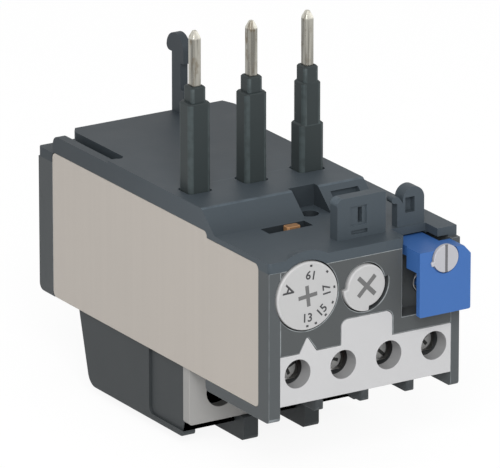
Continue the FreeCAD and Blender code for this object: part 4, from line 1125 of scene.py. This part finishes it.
@dataclass
class ReturnSpring:
    """Coil spring behind the reset button, which shortens as the button goes in; the piece keeps one length.
    """

    wire_radius: float = 0.25 * MM
    wire_sides: int = 10
    turns: int = 4
    steps: int = 24
    travel: float = 2.2 * MM

    def build(self, shop: Workshop) -> None:
        """Winds the spring at its node's length.

        Args:
            shop: Where the finishes come from.
        """
        low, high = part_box("reset_spring")
        middle = (low + high) / 2
        radius = (high.x - low.x) / 2 - self.wire_radius
        length = high.y - low.y - 2 * self.wire_radius
        shape = bmesh.new()
        start = Matrix.Translation((radius, 0.0, 0.0)) @ Matrix.Rotation(QUARTER, 4, "X")
        bmesh.ops.create_circle(shape, cap_ends=True, segments=self.wire_sides, radius=self.wire_radius,
                                matrix=start)
        count = self.turns * self.steps
        bmesh.ops.spin(shape, geom=shape.verts[:] + shape.edges[:] + shape.faces[:], cent=(0.0, 0.0, 0.0),
                       axis=(0.0, 0.0, 1.0), dvec=(0.0, 0.0, -length / count), angle=math.tau * self.turns,
                       steps=count, use_merge=False, use_duplicate=False)
        bmesh.ops.remove_doubles(shape, verts=shape.verts, dist=WELD)
        bmesh.ops.holes_fill(shape, edges=[edge for edge in shape.edges if edge.is_boundary])
        bmesh.ops.recalc_face_normals(shape, faces=shape.faces)
        for face in shape.faces:
            face.smooth = len(face.verts) == 4
        place = facing(Vector((middle.x, low.y + self.wire_radius, middle.z)))
        bmesh.ops.transform(shape, matrix=place, verts=shape.verts)
        spring = shop.piece("reset_spring_dressed", shape, "housing", Finish.SPRING, "reset_spring")
        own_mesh(spring)


@dataclass
class Controls:
    """Dial, knob, reset button with its return spring, and the selector in it."""

    def build(self, shop: Workshop) -> None:
        """Makes the controls' pieces.

        Args:
            shop: Where the finishes come from.
        """
        for control in (Dial(), Knob(), Selector(), ReturnSpring()):
            control.build(shop)
        Moulding("reset_button", Finish.RESET, body="reset_button", radius=0.3 * MM).build(shop)


@dataclass
class Screws:
    """Terminal screws: a head with a slot and a shorter cross bar, and a threaded shank."""

    node: str
    cells: tuple[str, ...]
    head_height: float
    shank_radius: float
    slot_width: float
    slot_share: float = 0.5
    cross_share: float = 0.62
    pitch: float = 0.7 * MM
    thread_depth: float = 0.22 * MM
    bevel: float = 0.45 * MM
    head_sides: int = 48
    shank_sides: int = 24
    turns: tuple[float, ...] = (24.0, 68.0, 137.0, 41.0)

    def build(self, shop: Workshop) -> None:
        """Makes all the screws of one kind as one piece.

        Args:
            shop: Where the finishes come from.
        """
        low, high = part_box(self.node)
        shapes = []
        for number, cell in enumerate(self.cells):
            cell_low, cell_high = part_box(cell)
            centre = Vector(((cell_low.x + cell_high.x) / 2, low.y, (low.z + high.z) / 2))
            turn = math.radians(self.turns[number % len(self.turns)])
            shapes.extend(self._screw(centre, turn, (high.z - low.z) / 2, high.y - low.y))
        shop.piece(f"{self.node}_dressed", gather(shapes), "housing", Finish.SCREW, self.node)

    def _screw(self, centre: Vector, turn: float, radius: float, length: float) -> list[bmesh.types.BMesh]:
        """Makes one screw.

        Args:
            centre: Middle of the head's face.
            turn: How far it is turned.
            radius: Radius of the head.
            length: Length over all.

        Returns:
            The head and the shank.
        """
        head = disc(radius, self.head_height, self.bevel, self.head_sides)
        bars = ((radius + WELD, self.slot_width / 2), (self.slot_width / 2, radius * self.cross_share))
        sink(head, bars, self.head_height * self.slot_share)
        shank = bmesh.new()
        place = self.head_height + APART
        outline = [(0.0, place), (self.shank_radius, place)]
        while place + self.pitch < length - self.pitch:
            outline.append((self.shank_radius - self.thread_depth, place + self.pitch / 2))
            outline.append((self.shank_radius, place + self.pitch))
            place += self.pitch
        outline += [(self.shank_radius - self.thread_depth * 2, length), (0.0, length)]
        row = [shank.verts.new((across, 0.0, -depth)) for across, depth in outline]
        line = [shank.edges.new(pair) for pair in zip(row, row[1:])]
        bmesh.ops.spin(shank, geom=row + line, cent=(0.0, 0.0, 0.0), axis=(0.0, 0.0, 1.0),
                       dvec=(0.0, 0.0, 0.0), angle=math.tau, steps=self.shank_sides, use_merge=True,
                       use_duplicate=False)
        bmesh.ops.remove_doubles(shank, verts=shank.verts, dist=WELD)
        bmesh.ops.recalc_face_normals(shank, faces=shank.faces)
        for face in shank.faces:
            face.smooth = False
        for shape in (head, shank):
            bmesh.ops.transform(shape, matrix=facing(centre, turn), verts=shape.verts)
        return [head, shank]


@dataclass
class Poles:
    """Sleeves and contact pins of the poles."""

    count: int = 3
    sleeve_edge: float = 0.38 * MM
    pin_edge: float = 0.12 * MM

    def build(self, shop: Workshop) -> None:
        """Makes the poles' pieces.

        Args:
            shop: Where the finishes come from.
        """
        for pole in range(1, self.count + 1):
            Moulding(f"pin_sleeve_{pole}", Finish.SLEEVE, radius=self.sleeve_edge).build(shop)
            Moulding(f"contact_pin_{pole}", Finish.PIN, radius=self.pin_edge).build(shop)


@dataclass
class Frame:
    """Nodes whose form stays as packed and which only get their finish."""

    def build(self, shop: Workshop) -> None:
        """Gives every carried-over node its material.

        Args:
            shop: Where the finishes come from.
        """
        for thing in frame["nodes"].values():
            for place in thing.material_slots:
                place.material = shop.material(finish_of(place.material))


def looking(place: Triple, way: Vector) -> Matrix:
    """Gives the place of a camera or a lamp.

    Args:
        place: Where it stands.
        way: The way it looks.

    Returns:
        The matrix that puts it there, with its top upwards.
    """
    return Matrix.Translation(place) @ way.to_track_quat("-Z", "Y").to_matrix().to_4x4()


@dataclass
class Studio:
    """Floor, light and camera; each lamp has its name, place, size and power."""

    azimuth: float = math.radians(31.85)
    elevation: float = math.radians(18.6)
    eye: Triple = (-0.74378, -1.19637, 0.51317)
    lens: float = 526.7
    sensor: float = 36.0
    farthest: float = 20.0
    floor_half: float = 4.0
    floor_drop: float = 0.2 * MM
    ambient: float = 0.44
    aim: Triple = (0.0, 0.0, 0.04)
    lamps: tuple[tuple[str, Triple, float, float], ...] = (
        ("key", (-0.62, -1.0, 0.75), 0.7, 13.5), ("fill", (0.9, -0.7, 0.45), 0.8, 2.0))

    def build(self, shop: Workshop) -> None:
        """Sets the studio up.

        Args:
            shop: Where the finishes come from.
        """
        scene = bpy.context.scene
        scene.view_settings.view_transform = "Standard"
        look = Vector((math.sin(self.azimuth) * math.cos(self.elevation),
                       math.cos(self.azimuth) * math.cos(self.elevation), -math.sin(self.elevation)))
        lens = bpy.data.cameras.new("camera")
        lens.lens = self.lens
        lens.sensor_width = self.sensor
        lens.clip_end = self.farthest
        camera = bpy.data.objects.new("camera", lens)
        camera.matrix_world = looking(self.eye, look)
        scene.collection.objects.link(camera)
        scene.camera = camera
        self._floor(shop)
        self._lamps()

    def _floor(self, shop: Workshop) -> None:
        """Lays the pale floor under the object.

        Args:
            shop: Where the finishes come from.
        """
        shape = bmesh.new()
        bmesh.ops.create_grid(shape, x_segments=1, y_segments=1, size=self.floor_half)
        mesh = bpy.data.meshes.new("floor")
        shape.to_mesh(mesh)
        shape.free()
        mesh.materials.append(shop.material(Finish.PAPER))
        floor = bpy.data.objects.new("floor", mesh)
        floor.location.z = -self.floor_drop
        bpy.context.scene.collection.objects.link(floor)

    def _lamps(self) -> None:
        """Hangs the soft lamps and lights the surroundings evenly."""
        world = bpy.data.worlds.new("surroundings")
        world.use_nodes = True
        graph = Graph(world.node_tree)
        soft = graph.node("ShaderNodeBackground", {}, {"Strength": self.ambient})
        plain = graph.node("ShaderNodeBackground", {}, {"Strength": 1.0})
        for light in (soft, plain):
            light.inputs["Color"].default_value = (1.0, 1.0, 1.0, 1.0)
        both = graph.node("ShaderNodeMixShader", {},
                          {0: graph.seen(), 1: soft.outputs[0], 2: plain.outputs[0]})
        graph.node("ShaderNodeOutputWorld", {}, {"Surface": both.outputs[0]})
        bpy.context.scene.world = world
        for name, place, size, power in self.lamps:
            light = bpy.data.lights.new(name, "AREA")
            light.size = size
            light.energy = power
            lamp = bpy.data.objects.new(name, light)
            lamp.matrix_world = looking(place, Vector(self.aim) - Vector(place))
            bpy.context.scene.collection.objects.link(lamp)


def main() -> None:
    """Builds the studio and then the relay, sub-assembly by sub-assembly."""
    logging.basicConfig(level=logging.INFO, format="%(name)s %(message)s")
    shop = Workshop()
    for part in (Studio(), Frame(), Housing(), Terminals(), Controls(), Poles()):
        part.build(shop)
        log.info("built %s", type(part).__name__)


if __name__ == "__main__":
    main()
